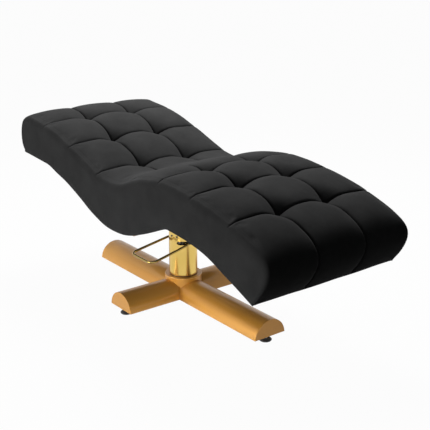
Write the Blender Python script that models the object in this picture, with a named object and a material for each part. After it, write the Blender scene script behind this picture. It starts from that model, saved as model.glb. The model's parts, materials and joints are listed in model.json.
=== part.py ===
"""Eyelash extension bed: an S-shaped tufted lounger on a swivelling pump column.

Metres, +Z up. The origin is on the floor under the middle of the bed's length and width.
The head end is at -X, the foot end at +X, and the pump's pedal is on the -Y side.
"""

import math

import bmesh
import bpy
from mathutils import Matrix, Vector

for old in list(bpy.data.objects):
    bpy.data.objects.remove(old)

# Gaps
GAP = 0.0003  # between pieces that touch
RUN_GAP = 0.0001  # round a sliding ram
HOLE_GAP = 0.0006  # round a bolt, stem or stub in its hole
MERGE = 0.00001  # points closer than this are one point

# Facets
ROUND_SIDES = 48
RAM_SIDES = 32
SMALL_SIDES = 12
HEX_SIDES = 6
SMOOTH_ANGLE = math.radians(35)

# Levelling glides
PAD_RADIUS = 0.026
PAD_TOP_RADIUS = 0.019
PAD_HEIGHT = 0.012
PAD_BEVEL = 0.003
COLLAR_RADIUS = 0.0095
COLLAR_HEIGHT = 0.0144
STEM_RADIUS = 0.004
STEM_LENGTH = 0.036
STEM_FOOT = 0.006
GLIDE_INSET = 0.028
NUT_RADIUS = 0.009
NUT_HEIGHT = 0.010

# Legs of half-round tube
LEG_WIDTH = 0.155
LEG_HEIGHT = 0.072
LEG_WALL = 0.0025
LEG_REACH_LONG = 0.588
LEG_REACH_SHORT = 0.3295
LEG_ARC_STEPS = 24
LEG_FLOOR_STEPS = 12
CAP_THICKNESS = 0.003
CAP_PLUG_DEPTH = 0.010
CAP_PLUG_WALL = 0.002
CAP_BEVEL = 0.0008

# Spider plate that joins the legs
SPIDER_THICKNESS = 0.006
SPIDER_ARM_WIDTH = 0.060
SPIDER_REACH = 0.172
BOLT_RADIUS = 0.004
BOLT_HEAD_RADIUS = 0.0072
BOLT_HEAD_HEIGHT = 0.005
LEG_BOLT_PLACE = 0.140

# Hub collar
HUB_RADIUS = 0.0825
HUB_WALL = 0.008
HUB_RISE = 0.016
HUB_ROOF = 0.010
HUB_BEVEL = 0.0015

# Pump
PUMP_RADIUS = 0.030
PUMP_FLANGE_RADIUS = 0.063
PUMP_FLANGE_HEIGHT = 0.008
PUMP_FLOOR = 0.008
STUD_RADIUS = 0.012
STUD_NUT_RADIUS = 0.021
STUD_NUT_HEIGHT = 0.007
STUD_END = 0.001
PUMP_CLEARANCE = 0.0015
HEAD_THICKNESS = 0.015
HEAD_CLEARANCE = 0.002
BUSH_WALL = 0.0042
BUSH_RISE = 0.016
LUG_INNER = 0.036
LUG_OUTER = 0.044
LUG_HALF_WIDTH = 0.011
LUG_CROWN = 0.011
BARREL_RADIUS = 0.009
BARREL_DROP = 0.018

# Sleeve over the pump
SEAT_RING_HEIGHT = 0.0020
SEAT_RING_WIDTH = 0.012
SLEEVE_RADIUS = 0.0625
SLEEVE_WALL = 0.0025
SLEEVE_LENGTH = 0.2174
WINDOW_SILL = 0.1459
WINDOW_HEIGHT = 0.016
WINDOW_FRONT = 0.033
WINDOW_BACK = 0.037
WINDOW_CORNER = 0.010
WINDOW_CORNER_STEPS = 4
WINDOW_MARGIN = 0.004
CAP_WALL = 0.006
CAP_ROOF = 0.008
SCREW_RADIUS = 0.0025
SCREW_HEAD_RADIUS = 0.0042
SCREW_HEAD_HEIGHT = 0.0022
SCREW_INSET = 0.0165
SCREW_ANGLES = {"left": -87, "right": -61, "back": 106}
WIPER_RISE = 0.003
WIPER_DEPTH = 0.006

# Pedal of bent rod, measured from its pivot
ROD_RADIUS = 0.0055
PEDAL_SIDE_GAP = 0.004
PEDAL_REACH = 0.199
PEDAL_DROP = 0.0395
PEDAL_SPLAY = 0.009
PEDAL_CORNER = 0.030
STUB_CORNER = 0.010
BEND_STEPS = 5
PIVOT_SETBACK = 0.022
PIVOT_SILL_GAP = 0.001
PIVOT_RISE = 0.040
EAR_INNER = 0.029
EAR_THICKNESS = 0.004
EAR_RADIUS = 0.008
BAR_RADIUS = 0.005
BAR_SETBACK = 0.018

# Plunger and its spring
PLUNGER_RADIUS = 0.005
PLUNGER_COLLAR_RADIUS = 0.0080
PLUNGER_COLLAR_DROP = 0.004
PLUNGER_COLLAR_HEIGHT = 0.003
PLUNGER_DEPTH = 0.020
SPRING_RADIUS = 0.0068
SPRING_WIRE = 0.0007
SPRING_TURNS = 6
SPRING_STEPS = 12

# Ram and swivel
RAM_RADIUS = 0.022
PISTON_GROWTH = 0.0012
PISTON_HEIGHT = 0.018
PISTON_FLOOR_GAP = 0.004
RAM_SHOWN = 0.0271
RAM_BEVEL = 0.0015
FLANGE_RADIUS = 0.045
FLANGE_THICKNESS = 0.009
SPIGOT_RADIUS = 0.0118
WASHER_THICKNESS = 0.003
SWIVEL_GAP = 0.0003
SWIVEL_NUT_RADIUS = 0.020
SWIVEL_NUT_HEIGHT = 0.010
SPIGOT_END = 0.003

# Mounting plate and the beams that it is bolted to
PLATE_THICKNESS = 0.006
PLATE_LENGTH = 0.230
PLATE_WIDTH = 0.200
PLATE_CORNER = 0.012
BEAM_WIDTH = 0.040
BEAM_PLACE = 0.085
PLATE_BOLT_PLACE = 0.075
PLATE_BOLT_BITE = 0.028

# Bed
BED_LENGTH = 1.795
BED_WIDTH = 0.700
PROFILE_RISE = 0.3655
PUMP_PLACE_SHARE = -0.03705
COVER_PAD = 0.038
SIDE_PAD = 0.012
END_WALL = 0.0145
FOAM_THICKNESS = 0.040
DECK_THICKNESS = 0.009
RAIL_THICKNESS = 0.018
RIB_THICKNESS = 0.018
RIB_LIFT = 0.022
DUST_LIFT = 0.0006
DUST_THICKNESS = 0.0015
EDGE_ROUND = 0.028
EDGE_ROUND_GROWTH = 0.060
EDGE_ROUND_LEAST = 0.0015
EDGE_STEPS = 3
SIDE_DRAW_IN = 0.003
SEAM_DEPTH = 0.006
PILLOW_DEPTH = 0.007
TUFT_DEPTH = 0.016
TUFT_SPREAD = 0.042
CROWN = 0.005
SEAM_FADE = 0.060
LAYER_STEPS = 26
CURVE_STEPS = 10

# Outline from the head end's lower corner over the top to the foot end's lower corner:
# places along the bed as shares of its length, heights over the pump as shares of the rise
OUTER_SHARES = (
    (-0.4813, 0.4985), (-0.4954, 0.6050), (-0.5000, 0.7360), (-0.4954, 0.8620),
    (-0.4850, 0.9420), (-0.4570, 1.0000), (-0.4160, 0.9910), (-0.3710, 0.9660),
    (-0.3160, 0.9170), (-0.2600, 0.8400), (-0.1930, 0.7390), (-0.1260, 0.6290),
    (-0.0872, 0.5855), (-0.0482, 0.5775), (-0.0148, 0.6130), (0.0298, 0.6950),
    (0.0855, 0.7661), (0.1496, 0.8016), (0.2415, 0.7688), (0.3306, 0.6977),
    (0.4086, 0.5937), (0.4643, 0.4952), (0.4925, 0.3950), (0.5000, 0.2990),
    (0.4945, 0.1900), (0.4795, 0.0640), (0.4580, -0.0640),
)
UNDER_SHARES = (
    (-0.4813, 0.4985), (-0.4740, 0.4915), (-0.4560, 0.4930), (-0.4372, 0.4955), (-0.4029, 0.4880),
    (-0.3696, 0.4705), (-0.3374, 0.4400), (-0.3061, 0.3960), (-0.2454, 0.3105), (-0.1875, 0.2010),
    (-0.1323, 0.0850), (-0.0777, 0.0145), (-0.0242, 0.0000), (0.0273, 0.0290), (0.0772, 0.1112),
    (0.1256, 0.2065), (0.1713, 0.2965), (0.1900, 0.2985), (0.2110, 0.2930), (0.2632, 0.2660),
    (0.3000, 0.2310), (0.3362, 0.1758), (0.3741, 0.1010), (0.4110, 0.0314), (0.4290, -0.0060),
    (0.4460, -0.0420), (0.4580, -0.0640),
)
SEAM_PLACE_SHARES = (-0.3657, -0.2404, -0.1123, 0.0270, 0.1440, 0.2582, 0.3825)
SEAM_COLUMN_SHARE = 1 / 6
PANEL_SHARES = (0.18, 0.50, 0.82, 1.0)
HEAD_LIP_SHARES = (0.35, 0.70, 1.0)
HEAD_OVER_SHARES = (0.14, 0.27, 0.40, 0.56, 0.80, 1.0)
FOOT_OVER_SHARES = (0.24, 0.46, 0.63, 0.76, 0.88, 1.0)
FOOT_LIP_SHARES = (0.25, 0.45, 0.65, 0.83, 1.0)
EDGE_COLUMN_SHARES = (0.22, 0.60)
RIB_SHARES = (-0.3600, -0.2400, 0.1200, 0.2300, 0.3400)

# Heights that follow from the stack of pieces
LEG_BOTTOM = PAD_HEIGHT + GAP + COLLAR_HEIGHT + GAP
LEG_FLOOR = LEG_BOTTOM + LEG_WALL
SPIDER_BOTTOM = LEG_FLOOR + GAP
SPIDER_TOP = SPIDER_BOTTOM + SPIDER_THICKNESS
HUB_TOP = LEG_BOTTOM + LEG_HEIGHT + HUB_RISE
SLEEVE_BOTTOM = HUB_TOP + GAP + SEAT_RING_HEIGHT + GAP
SLEEVE_TOP = SLEEVE_BOTTOM + SLEEVE_LENGTH
WINDOW_BOTTOM = SLEEVE_BOTTOM + WINDOW_SILL
WINDOW_TOP = WINDOW_BOTTOM + WINDOW_HEIGHT
PIVOT_HEIGHT = WINDOW_BOTTOM + PIVOT_SILL_GAP + ROD_RADIUS
PUMP_BOTTOM = SPIDER_TOP + GAP
HEAD_TOP = PIVOT_HEIGHT - PIVOT_RISE
HEAD_BOTTOM = HEAD_TOP - HEAD_THICKNESS
PUMP_TOP = HEAD_BOTTOM - GAP
PISTON_BOTTOM = PUMP_BOTTOM + PUMP_FLOOR + PISTON_FLOOR_GAP
SLEEVE_CAP_BOTTOM = WINDOW_TOP + WINDOW_MARGIN
FLANGE_BOTTOM = SLEEVE_TOP + RAM_SHOWN
FLANGE_TOP = FLANGE_BOTTOM + FLANGE_THICKNESS
WASHER_BOTTOM = FLANGE_TOP + GAP
PLATE_BOTTOM = WASHER_BOTTOM + WASHER_THICKNESS + GAP
PLATE_TOP = PLATE_BOTTOM + PLATE_THICKNESS
BED_UNDERSIDE = PLATE_TOP + GAP

# Radii and places that follow from their neighbours
BORE_RADIUS = RAM_RADIUS + PISTON_GROWTH + RUN_GAP
BUSH_RADIUS = RAM_RADIUS + RUN_GAP + BUSH_WALL
SLEEVE_BORE = SLEEVE_RADIUS - SLEEVE_WALL
HEAD_RADIUS = SLEEVE_BORE - HEAD_CLEARANCE
ARM_PLACE = SLEEVE_RADIUS + PEDAL_SIDE_GAP + ROD_RADIUS
STUB_END = EAR_INNER - GAP
EAR_OUTER = EAR_INNER + EAR_THICKNESS
PLUNGER_PLACE = -PIVOT_SETBACK - BAR_SETBACK
PLUNGER_TOP = PIVOT_HEIGHT - BAR_RADIUS - GAP
PUMP_X = PUMP_PLACE_SHARE * BED_LENGTH
HALF_WIDTH = BED_WIDTH / 2
COVER_INSIDE = HALF_WIDTH - SIDE_PAD
FRAME_SIDE = COVER_INSIDE - GAP
RAIL_INSIDE = FRAME_SIDE - RAIL_THICKNESS
BETWEEN_RAILS = RAIL_INSIDE - GAP

X_AXIS, Y_AXIS, Z_AXIS = Vector((1, 0, 0)), Vector((0, 1, 0)), Vector((0, 0, 1))


def surface(name, colour, roughness, metallic=0.0, sheen=0.0):
    """One Principled material."""
    made = bpy.data.materials.new(name)
    made.use_nodes = True
    shader = made.node_tree.nodes["Principled BSDF"]
    shader.inputs["Base Color"].default_value = (*colour, 1.0)
    shader.inputs["Roughness"].default_value = roughness
    shader.inputs["Metallic"].default_value = metallic
    shader.inputs["Sheen Weight"].default_value = sheen
    return made


VELVET = surface("velvet", (0.030, 0.030, 0.031), 0.9, sheen=0.4)
FOAM = surface("foam", (0.80, 0.76, 0.62), 0.95)
PLYWOOD = surface("plywood", (0.62, 0.46, 0.29), 0.7)
DUST_CLOTH = surface("dust_cloth", (0.02, 0.02, 0.02), 1.0)
SATIN_GOLD = surface("satin_gold", (0.58, 0.30, 0.075), 0.4, 0.6)
POLISHED_GOLD = surface("polished_gold", (0.80, 0.60, 0.25), 0.12, 1.0)
BRONZE = surface("bronze", (0.62, 0.40, 0.18), 0.35, 1.0)
STEEL = surface("steel", (0.55, 0.55, 0.56), 0.35, 1.0)
PUMP_PAINT = surface("pump_paint", (0.06, 0.06, 0.065), 0.5, 0.4)
BLACK_PLASTIC = surface("black_plastic", (0.015, 0.015, 0.016), 0.45)
RUBBER = surface("rubber", (0.02, 0.02, 0.02), 0.8)


def axis_empty(name, place, parent=None):
    """An empty on a joint's axis, which carries the pieces that turn or slide on it."""
    made = bpy.data.objects.new(name, None)
    bpy.context.scene.collection.objects.link(made)
    made.location = place
    made.parent = parent
    return made


def add(name, bm, look, parent, place=(0, 0, 0), turn=0.0):
    """Turns a bmesh into a named object under its empty."""
    bmesh.ops.recalc_face_normals(bm, faces=bm.faces)
    mesh = bpy.data.meshes.new(name)
    bm.to_mesh(mesh)
    bm.free()
    mesh.shade_smooth()
    mesh.set_sharp_from_angle(angle=SMOOTH_ANGLE)
    made = bpy.data.objects.new(name, mesh)
    bpy.context.scene.collection.objects.link(made)
    made.data.materials.append(look)
    made.parent = parent
    made.location = place
    made.rotation_euler = (0, 0, turn)
    return made


def cut(target, name, bm, place=(0, 0, 0), turn=0.0, operation="DIFFERENCE"):
    """Cuts a hidden tool out of a piece, or joins it on."""
    tool = add(name, bm, target.data.materials[0], target.parent, place, turn)
    tool.hide_render = True
    tool.display_type = "WIRE"
    modifier = target.modifiers.new(name, "BOOLEAN")
    modifier.operation = operation
    modifier.solver = "EXACT"
    modifier.object = tool
    return tool


def turned(outlines, sides, closed=False):
    """Spins outlines of (radius, height) round Z. A closed outline is a ring with a bore."""
    bm = bmesh.new()
    for outline in outlines:
        points = [bm.verts.new((radius, 0, height)) for radius, height in outline]
        edges = [bm.edges.new(pair) for pair in zip(points, points[1:])]
        if closed:
            edges.append(bm.edges.new((points[-1], points[0])))
        bmesh.ops.spin(
            bm, geom=points + edges, cent=(0, 0, 0), axis=Z_AXIS,
            angle=math.tau, steps=sides, use_merge=True,
        )
    bmesh.ops.remove_doubles(bm, verts=bm.verts, dist=MERGE)
    return bm


def rod(radius, bottom, top, sides=SMALL_SIDES):
    """A plain round bar along Z."""
    return turned([[(0, bottom), (radius, bottom), (radius, top), (0, top)]], sides)


def ring(inner, outer, bottom, top, sides=ROUND_SIDES):
    """A plain ring about Z."""
    outline = [(inner, bottom), (outer, bottom), (outer, top), (inner, top)]
    return turned([outline], sides, closed=True)


def repeated(bm, places):
    """Copies what is in the bmesh to each place, as separate solids."""
    shapes = bm.verts[:] + bm.edges[:] + bm.faces[:]
    for place in places[1:]:
        copy = bmesh.ops.duplicate(bm, geom=shapes)["geom"]
        moved = [item for item in copy if isinstance(item, bmesh.types.BMVert)]
        bmesh.ops.transform(bm, matrix=place, verts=moved)
    first = [item for item in shapes if isinstance(item, bmesh.types.BMVert)]
    bmesh.ops.transform(bm, matrix=places[0], verts=first)
    return bm


def laid_along_x(bm):
    """Turns a shape built along Z so that it runs along X."""
    bmesh.ops.rotate(bm, verts=bm.verts, matrix=Matrix.Rotation(math.pi / 2, 3, "Y"))
    return bm


def prism(outline, bottom, top):
    """An outline of (x, y) points raised from bottom to top."""
    bm = bmesh.new()
    face = bm.faces.new([bm.verts.new((x, y, bottom)) for x, y in outline])
    raised = bmesh.ops.extrude_face_region(bm, geom=[face])["geom"]
    upper = [item for item in raised if isinstance(item, bmesh.types.BMVert)]
    bmesh.ops.translate(bm, verts=upper, vec=Z_AXIS * (top - bottom))
    return bm


def rounded_rectangle(low_x, high_x, low_y, high_y, radius, steps):
    """The corners of a rectangle as quarter circles."""
    centres = (
        (high_x - radius, high_y - radius), (low_x + radius, high_y - radius),
        (low_x + radius, low_y + radius), (high_x - radius, low_y + radius),
    )
    points = []
    for quarter, (centre_x, centre_y) in enumerate(centres):
        for step in range(steps + 1):
            angle = (quarter + step / steps) * math.pi / 2
            points.append((centre_x + radius * math.cos(angle), centre_y + radius * math.sin(angle)))
    return points


def half_round(width, height, wall, floor_bottom):
    """A half-round outline of (across, height) points, drawn in by a wall on every side."""
    radius = (width * width / 4 + height * height) / (2 * height)
    centre = floor_bottom + height - radius
    inner = radius - wall
    floor = floor_bottom + wall
    half_angle = math.acos(max(-1, min(1, (floor - centre) / inner)))
    points = []
    for step in range(LEG_ARC_STEPS + 1):
        angle = half_angle * (1 - 2 * step / LEG_ARC_STEPS)
        points.append((-inner * math.sin(angle), centre + inner * math.cos(angle)))
    corner = points[-1][0]
    for step in range(1, LEG_FLOOR_STEPS):
        points.append((corner * (1 - 2 * step / LEG_FLOOR_STEPS), floor))
    return points


def leg_start(across):
    """How far from the pump a leg begins: at the hub, or at its mitre with the next leg."""
    hub = HUB_RADIUS + GAP
    at_hub = math.sqrt(max(hub * hub - across * across, 0))
    return max(at_hub, abs(across) + GAP)


def strip(bm, first, second):
    """Quads between two loops of points."""
    for index in range(len(first)):
        after = (index + 1) % len(first)
        bm.faces.new((first[index], first[after], second[after], second[index]))


def leg_tube(end):
    """A half-round tube along +X from the hub to its open outer end."""
    bm = bmesh.new()
    loops = []
    for wall in (0, LEG_WALL):
        outline = half_round(LEG_WIDTH, LEG_HEIGHT, wall, LEG_BOTTOM)
        loops.append([bm.verts.new((leg_start(v), v, z)) for v, z in outline])
        loops.append([bm.verts.new((end, v, z)) for v, z in outline])
    outer_start, outer_end, inner_start, inner_end = loops
    strip(bm, outer_start, outer_end)
    strip(bm, inner_end, inner_start)
    strip(bm, outer_end, inner_end)
    strip(bm, inner_start, outer_start)
    return bm


def leg_cap(end):
    """A half-round cap with a hollow plug that fits inside the tube."""
    bm = bmesh.new()
    plug_wall = LEG_WALL + GAP
    plug_inside = plug_wall + CAP_PLUG_WALL
    shoulder = end - CAP_THICKNESS
    rings = (
        (CAP_BEVEL, end), (0, end - CAP_BEVEL), (0, shoulder), (plug_wall, shoulder),
        (plug_wall, shoulder - CAP_PLUG_DEPTH), (plug_inside, shoulder - CAP_PLUG_DEPTH),
        (plug_inside, shoulder),
    )
    loops = []
    for wall, along in rings:
        outline = half_round(LEG_WIDTH, LEG_HEIGHT, wall, LEG_BOTTOM)
        loops.append([bm.verts.new((along, v, z)) for v, z in outline])
    for first, second in zip(loops, loops[1:]):
        strip(bm, first, second)
    bm.faces.new(loops[0])
    bm.faces.new(loops[-1])
    return bm


def smooth_curve(points):
    """A Catmull-Rom curve through the points, and the index of each point in it."""
    padded = [points[0] * 2 - points[1], *points, points[-1] * 2 - points[-2]]
    curve = [points[0]]
    for before, start, end, after in zip(padded, padded[1:], padded[2:], padded[3:]):
        for step in range(1, CURVE_STEPS + 1):
            t = step / CURVE_STEPS
            curve.append(
                (start * 2 + (end - before) * t
                 + (before * 2 - start * 5 + end * 4 - after) * t * t
                 + (start * 3 - before - end * 3 + after) * t * t * t) / 2
            )
    return curve


def bed_curve(shares):
    """An outline of shares as places from the pump's axis."""
    placed = [
        Vector((along * BED_LENGTH - PUMP_X, BED_UNDERSIDE + height * PROFILE_RISE))
        for along, height in shares
    ]
    return smooth_curve(placed)


OUTER = bed_curve(OUTER_SHARES)
UNDER = bed_curve(UNDER_SHARES)
HEAD_TIP = min(range(len(OUTER)), key=lambda index: OUTER[index].x)
FOOT_TIP = max(range(len(OUTER)), key=lambda index: OUTER[index].x)
TOP = OUTER[HEAD_TIP:FOOT_TIP + 1]
HEAD_CORNER, FOOT_CORNER = OUTER[0].x, OUTER[-1].x
INSIDE_HEAD = HEAD_CORNER + END_WALL
INSIDE_FOOT = FOOT_CORNER - END_WALL


def height_at(curve, x):
    """Height of a curve at x, between its points."""
    for start, end in zip(curve, curve[1:]):
        if start.x <= x <= end.x:
            return start.y + (end.y - start.y) * (x - start.x) / (end.x - start.x)
    return curve[-1].y if x > curve[-1].x else curve[0].y


def stations(start, end, steps):
    """Evenly spaced places from start to end."""
    return [start + (end - start) * step / steps for step in range(steps + 1)]


def steepness(x):
    """Height along the vertical of a layer that is one metre thick, square to the top."""
    span = BED_LENGTH / LAYER_STEPS
    low, high = max(x - span, INSIDE_HEAD), min(x + span, INSIDE_FOOT)
    slope = (height_at(TOP, high) - height_at(TOP, low)) / (high - low)
    return math.sqrt(1 + slope * slope)


# Every layer bends at the same places, so that neighbours stay the same gap apart
INNER_PLACES = stations(INSIDE_HEAD, INSIDE_FOOT, LAYER_STEPS)
TOP_LINE = [Vector((x, height_at(TOP, x))) for x in INNER_PLACES]
STEEP_LINE = [Vector((x, steepness(x))) for x in INNER_PLACES]
UNDER_LINE = [Vector((x, height_at(UNDER, x))) for x in INNER_PLACES]


def places_between(start, end):
    """The start, the bending places between, and the end."""
    return [start] + [x for x in INNER_PLACES if start + MERGE < x < end - MERGE] + [end]


def under_height(x, lift=0.0):
    """Height of the bed's lower edge, raised by a lift."""
    return height_at(UNDER_LINE, x) + lift


def layer_height(x, depth):
    """Height of a layer that lies a square depth below the top."""
    return height_at(TOP_LINE, x) - depth * height_at(STEEP_LINE, x)


FOAM_DEPTH = COVER_PAD + GAP
DECK_DEPTH = FOAM_DEPTH + FOAM_THICKNESS + GAP
FRAME_DEPTH = DECK_DEPTH + DECK_THICKNESS + GAP
RAIL_LIFT = DUST_LIFT + DUST_THICKNESS + GAP


def layer(places, low_y, high_y, bottom_of, top_of):
    """A solid between two curved faces, from low_y to high_y."""
    bm = bmesh.new()
    loops = []
    for x in places:
        bottom, top = bottom_of(x), top_of(x)
        corners = ((low_y, bottom), (high_y, bottom), (high_y, top), (low_y, top))
        loops.append([bm.verts.new((x, y, z)) for y, z in corners])
    for first, second in zip(loops, loops[1:]):
        strip(bm, first, second)
    bm.faces.new(loops[0])
    bm.faces.new(loops[-1])
    return bm


def build_glide(name, place):
    """A pad and a threaded stem, which screw down out of the leg together."""
    axis = axis_empty(name + "_axis", place)
    outline = [
        (0, 0), (PAD_RADIUS - PAD_BEVEL, 0), (PAD_RADIUS, PAD_BEVEL),
        (PAD_RADIUS, PAD_BEVEL * 2), (PAD_TOP_RADIUS, PAD_HEIGHT),
        (STEM_RADIUS + HOLE_GAP, PAD_HEIGHT), (STEM_RADIUS + HOLE_GAP, PAD_HEIGHT - STEM_FOOT),
        (0, PAD_HEIGHT - STEM_FOOT),
    ]
    add("glide_pad_" + name, turned([outline], ROUND_SIDES // 2), BLACK_PLASTIC, axis)
    collar_bottom = PAD_HEIGHT + GAP
    collar_top = collar_bottom + COLLAR_HEIGHT
    stem_bottom = PAD_HEIGHT - STEM_FOOT + GAP
    outline = [
        (0, stem_bottom), (STEM_RADIUS, stem_bottom), (STEM_RADIUS, collar_bottom),
        (COLLAR_RADIUS, collar_bottom), (COLLAR_RADIUS, collar_top), (STEM_RADIUS, collar_top),
        (STEM_RADIUS, collar_top + STEM_LENGTH), (0, collar_top + STEM_LENGTH),
    ]
    add("glide_stem_" + name, turned([outline], HEX_SIDES), STEEL, axis)


def hole_tool(places, radius, bottom, top):
    """Round cutters that stand at each place."""
    moves = [Matrix.Translation(Vector((x, y, 0))) for x, y in places]
    return repeated(rod(radius, bottom, top), moves)


LEGS = (
    ("foot", 0.0, LEG_REACH_LONG), ("back", math.pi / 2, LEG_REACH_SHORT),
    ("head", math.pi, LEG_REACH_LONG), ("front", -math.pi / 2, LEG_REACH_SHORT),
)


def bolt_shape(head_top, tip):
    """A bolt that stands on its head."""
    head_bottom = head_top - BOLT_HEAD_HEIGHT
    outline = [
        (0, head_bottom), (BOLT_HEAD_RADIUS, head_bottom), (BOLT_HEAD_RADIUS, head_top),
        (BOLT_RADIUS, head_top), (BOLT_RADIUS, tip), (0, tip),
    ]
    return turned([outline], HEX_SIDES)


def build_legs(base):
    """Four tubes in a plus, each with its welded nut, cap, glide and bolt."""
    for name, turn, reach in LEGS:
        end = reach - CAP_THICKNESS - GAP
        glide = reach - GLIDE_INSET
        rotation = Matrix.Rotation(turn, 3, "Z")
        tube = add("leg_" + name, leg_tube(end), SATIN_GOLD, base, turn=turn)
        nut = rod(NUT_RADIUS, LEG_FLOOR - LEG_WALL / 2, LEG_FLOOR + NUT_HEIGHT, HEX_SIDES)
        cut(tube, "leg_nut_" + name, nut, rotation @ (X_AXIS * glide), turn, "UNION")
        places = [(glide, 0), (LEG_BOLT_PLACE, 0)]
        top = LEG_FLOOR + NUT_HEIGHT + LEG_WALL
        tool = hole_tool(places, BOLT_RADIUS + HOLE_GAP, LEG_BOTTOM - LEG_WALL, top)
        cut(tube, "leg_holes_" + name, tool, turn=turn)
        add("leg_cap_" + name, leg_cap(reach), SATIN_GOLD, base, turn=turn)
        bolt = bolt_shape(LEG_BOTTOM - GAP, SPIDER_TOP)
        add("leg_bolt_" + name, bolt, STEEL, base, rotation @ (X_AXIS * LEG_BOLT_PLACE))
        build_glide(name, base.location + rotation @ (X_AXIS * glide))


def build_spider(base):
    """The cross-shaped plate inside the legs that carries the pump."""
    half = SPIDER_ARM_WIDTH / 2
    quarter = [(SPIDER_REACH, -half), (SPIDER_REACH, half), (half, half)]
    outline = []
    for name, turn, reach in LEGS:
        for x, y in quarter:
            outline.append((x * math.cos(turn) - y * math.sin(turn), x * math.sin(turn) + y * math.cos(turn)))
    plate = add("spider_plate", prism(outline, SPIDER_BOTTOM, SPIDER_TOP), STEEL, base)
    places = [
        (LEG_BOLT_PLACE * math.cos(turn), LEG_BOLT_PLACE * math.sin(turn)) for name, turn, reach in LEGS
    ]
    tool = hole_tool(places, BOLT_RADIUS + HOLE_GAP, SPIDER_BOTTOM - GAP, SPIDER_TOP + GAP)
    cut(plate, "spider_holes", tool)
    middle = rod(STUD_RADIUS + HOLE_GAP, SPIDER_BOTTOM - GAP, SPIDER_TOP + GAP, RAM_SIDES)
    cut(plate, "stud_hole", middle)


def build_hub(base):
    """The gold collar over the middle of the cross."""
    bottom = SPIDER_TOP + GAP
    inside = HUB_RADIUS - HUB_WALL
    hole = PUMP_RADIUS + PUMP_CLEARANCE
    roof = HUB_TOP - HUB_ROOF
    outline = [
        (inside, bottom), (HUB_RADIUS, bottom), (HUB_RADIUS, HUB_TOP - HUB_BEVEL),
        (HUB_RADIUS - HUB_BEVEL, HUB_TOP), (hole, HUB_TOP), (hole, roof), (inside, roof),
    ]
    add("hub_collar", turned([outline], ROUND_SIDES, closed=True), SATIN_GOLD, base)


def build_pump(base):
    """Cylinder on its stud and nut, head with pivot lugs, and the bush that guides the ram."""
    flange = PUMP_BOTTOM + PUMP_FLANGE_HEIGHT
    floor = PUMP_BOTTOM + PUMP_FLOOR
    nut_top = SPIDER_BOTTOM - GAP
    nut_bottom = nut_top - STUD_NUT_HEIGHT
    outline = [
        (0, nut_bottom - STUD_END), (STUD_RADIUS, nut_bottom - STUD_END), (STUD_RADIUS, PUMP_BOTTOM),
        (PUMP_FLANGE_RADIUS, PUMP_BOTTOM), (PUMP_FLANGE_RADIUS, flange),
        (PUMP_RADIUS, flange), (PUMP_RADIUS, PUMP_TOP), (BORE_RADIUS, PUMP_TOP),
        (BORE_RADIUS, floor), (0, floor),
    ]
    add("pump_cylinder", turned([outline], RAM_SIDES), PUMP_PAINT, base)
    nut = ring(STUD_RADIUS + HOLE_GAP, STUD_NUT_RADIUS, nut_bottom, nut_top, SMALL_SIDES)
    add("pump_nut", nut, STEEL, base)

    head = add(
        "pump_head", ring(BUSH_RADIUS + GAP, HEAD_RADIUS, HEAD_BOTTOM, HEAD_TOP, RAM_SIDES), PUMP_PAINT, base
    )
    for side, sign in (("left", -1), ("right", 1)):
        near, far = sorted((sign * LUG_INNER, sign * LUG_OUTER))
        low, high = -PIVOT_SETBACK - LUG_HALF_WIDTH, -PIVOT_SETBACK + LUG_HALF_WIDTH
        outline = ((near, low), (far, low), (far, high), (near, high))
        lug = prism(outline, HEAD_TOP - HEAD_THICKNESS / 2, PIVOT_HEIGHT + LUG_CROWN)
        cut(head, "lug_" + side, lug, operation="UNION")
    barrel = rod(BARREL_RADIUS, HEAD_BOTTOM - BARREL_DROP, HEAD_TOP - HEAD_THICKNESS / 2)
    cut(head, "plunger_barrel", barrel, (0, PLUNGER_PLACE, 0), operation="UNION")
    bore = rod(PLUNGER_RADIUS + HOLE_GAP, HEAD_BOTTOM - BARREL_DROP - GAP, HEAD_TOP + GAP)
    cut(head, "plunger_bore", bore, (0, PLUNGER_PLACE, 0))
    pivot_bore = laid_along_x(rod(ROD_RADIUS + HOLE_GAP, -SLEEVE_RADIUS, SLEEVE_RADIUS))
    cut(head, "pivot_bore", pivot_bore, (0, -PIVOT_SETBACK, PIVOT_HEIGHT))

    bush = ring(RAM_RADIUS + RUN_GAP, BUSH_RADIUS, HEAD_BOTTOM, HEAD_TOP + BUSH_RISE, RAM_SIDES)
    add("guide_bush", bush, BRONZE, base)


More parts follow.
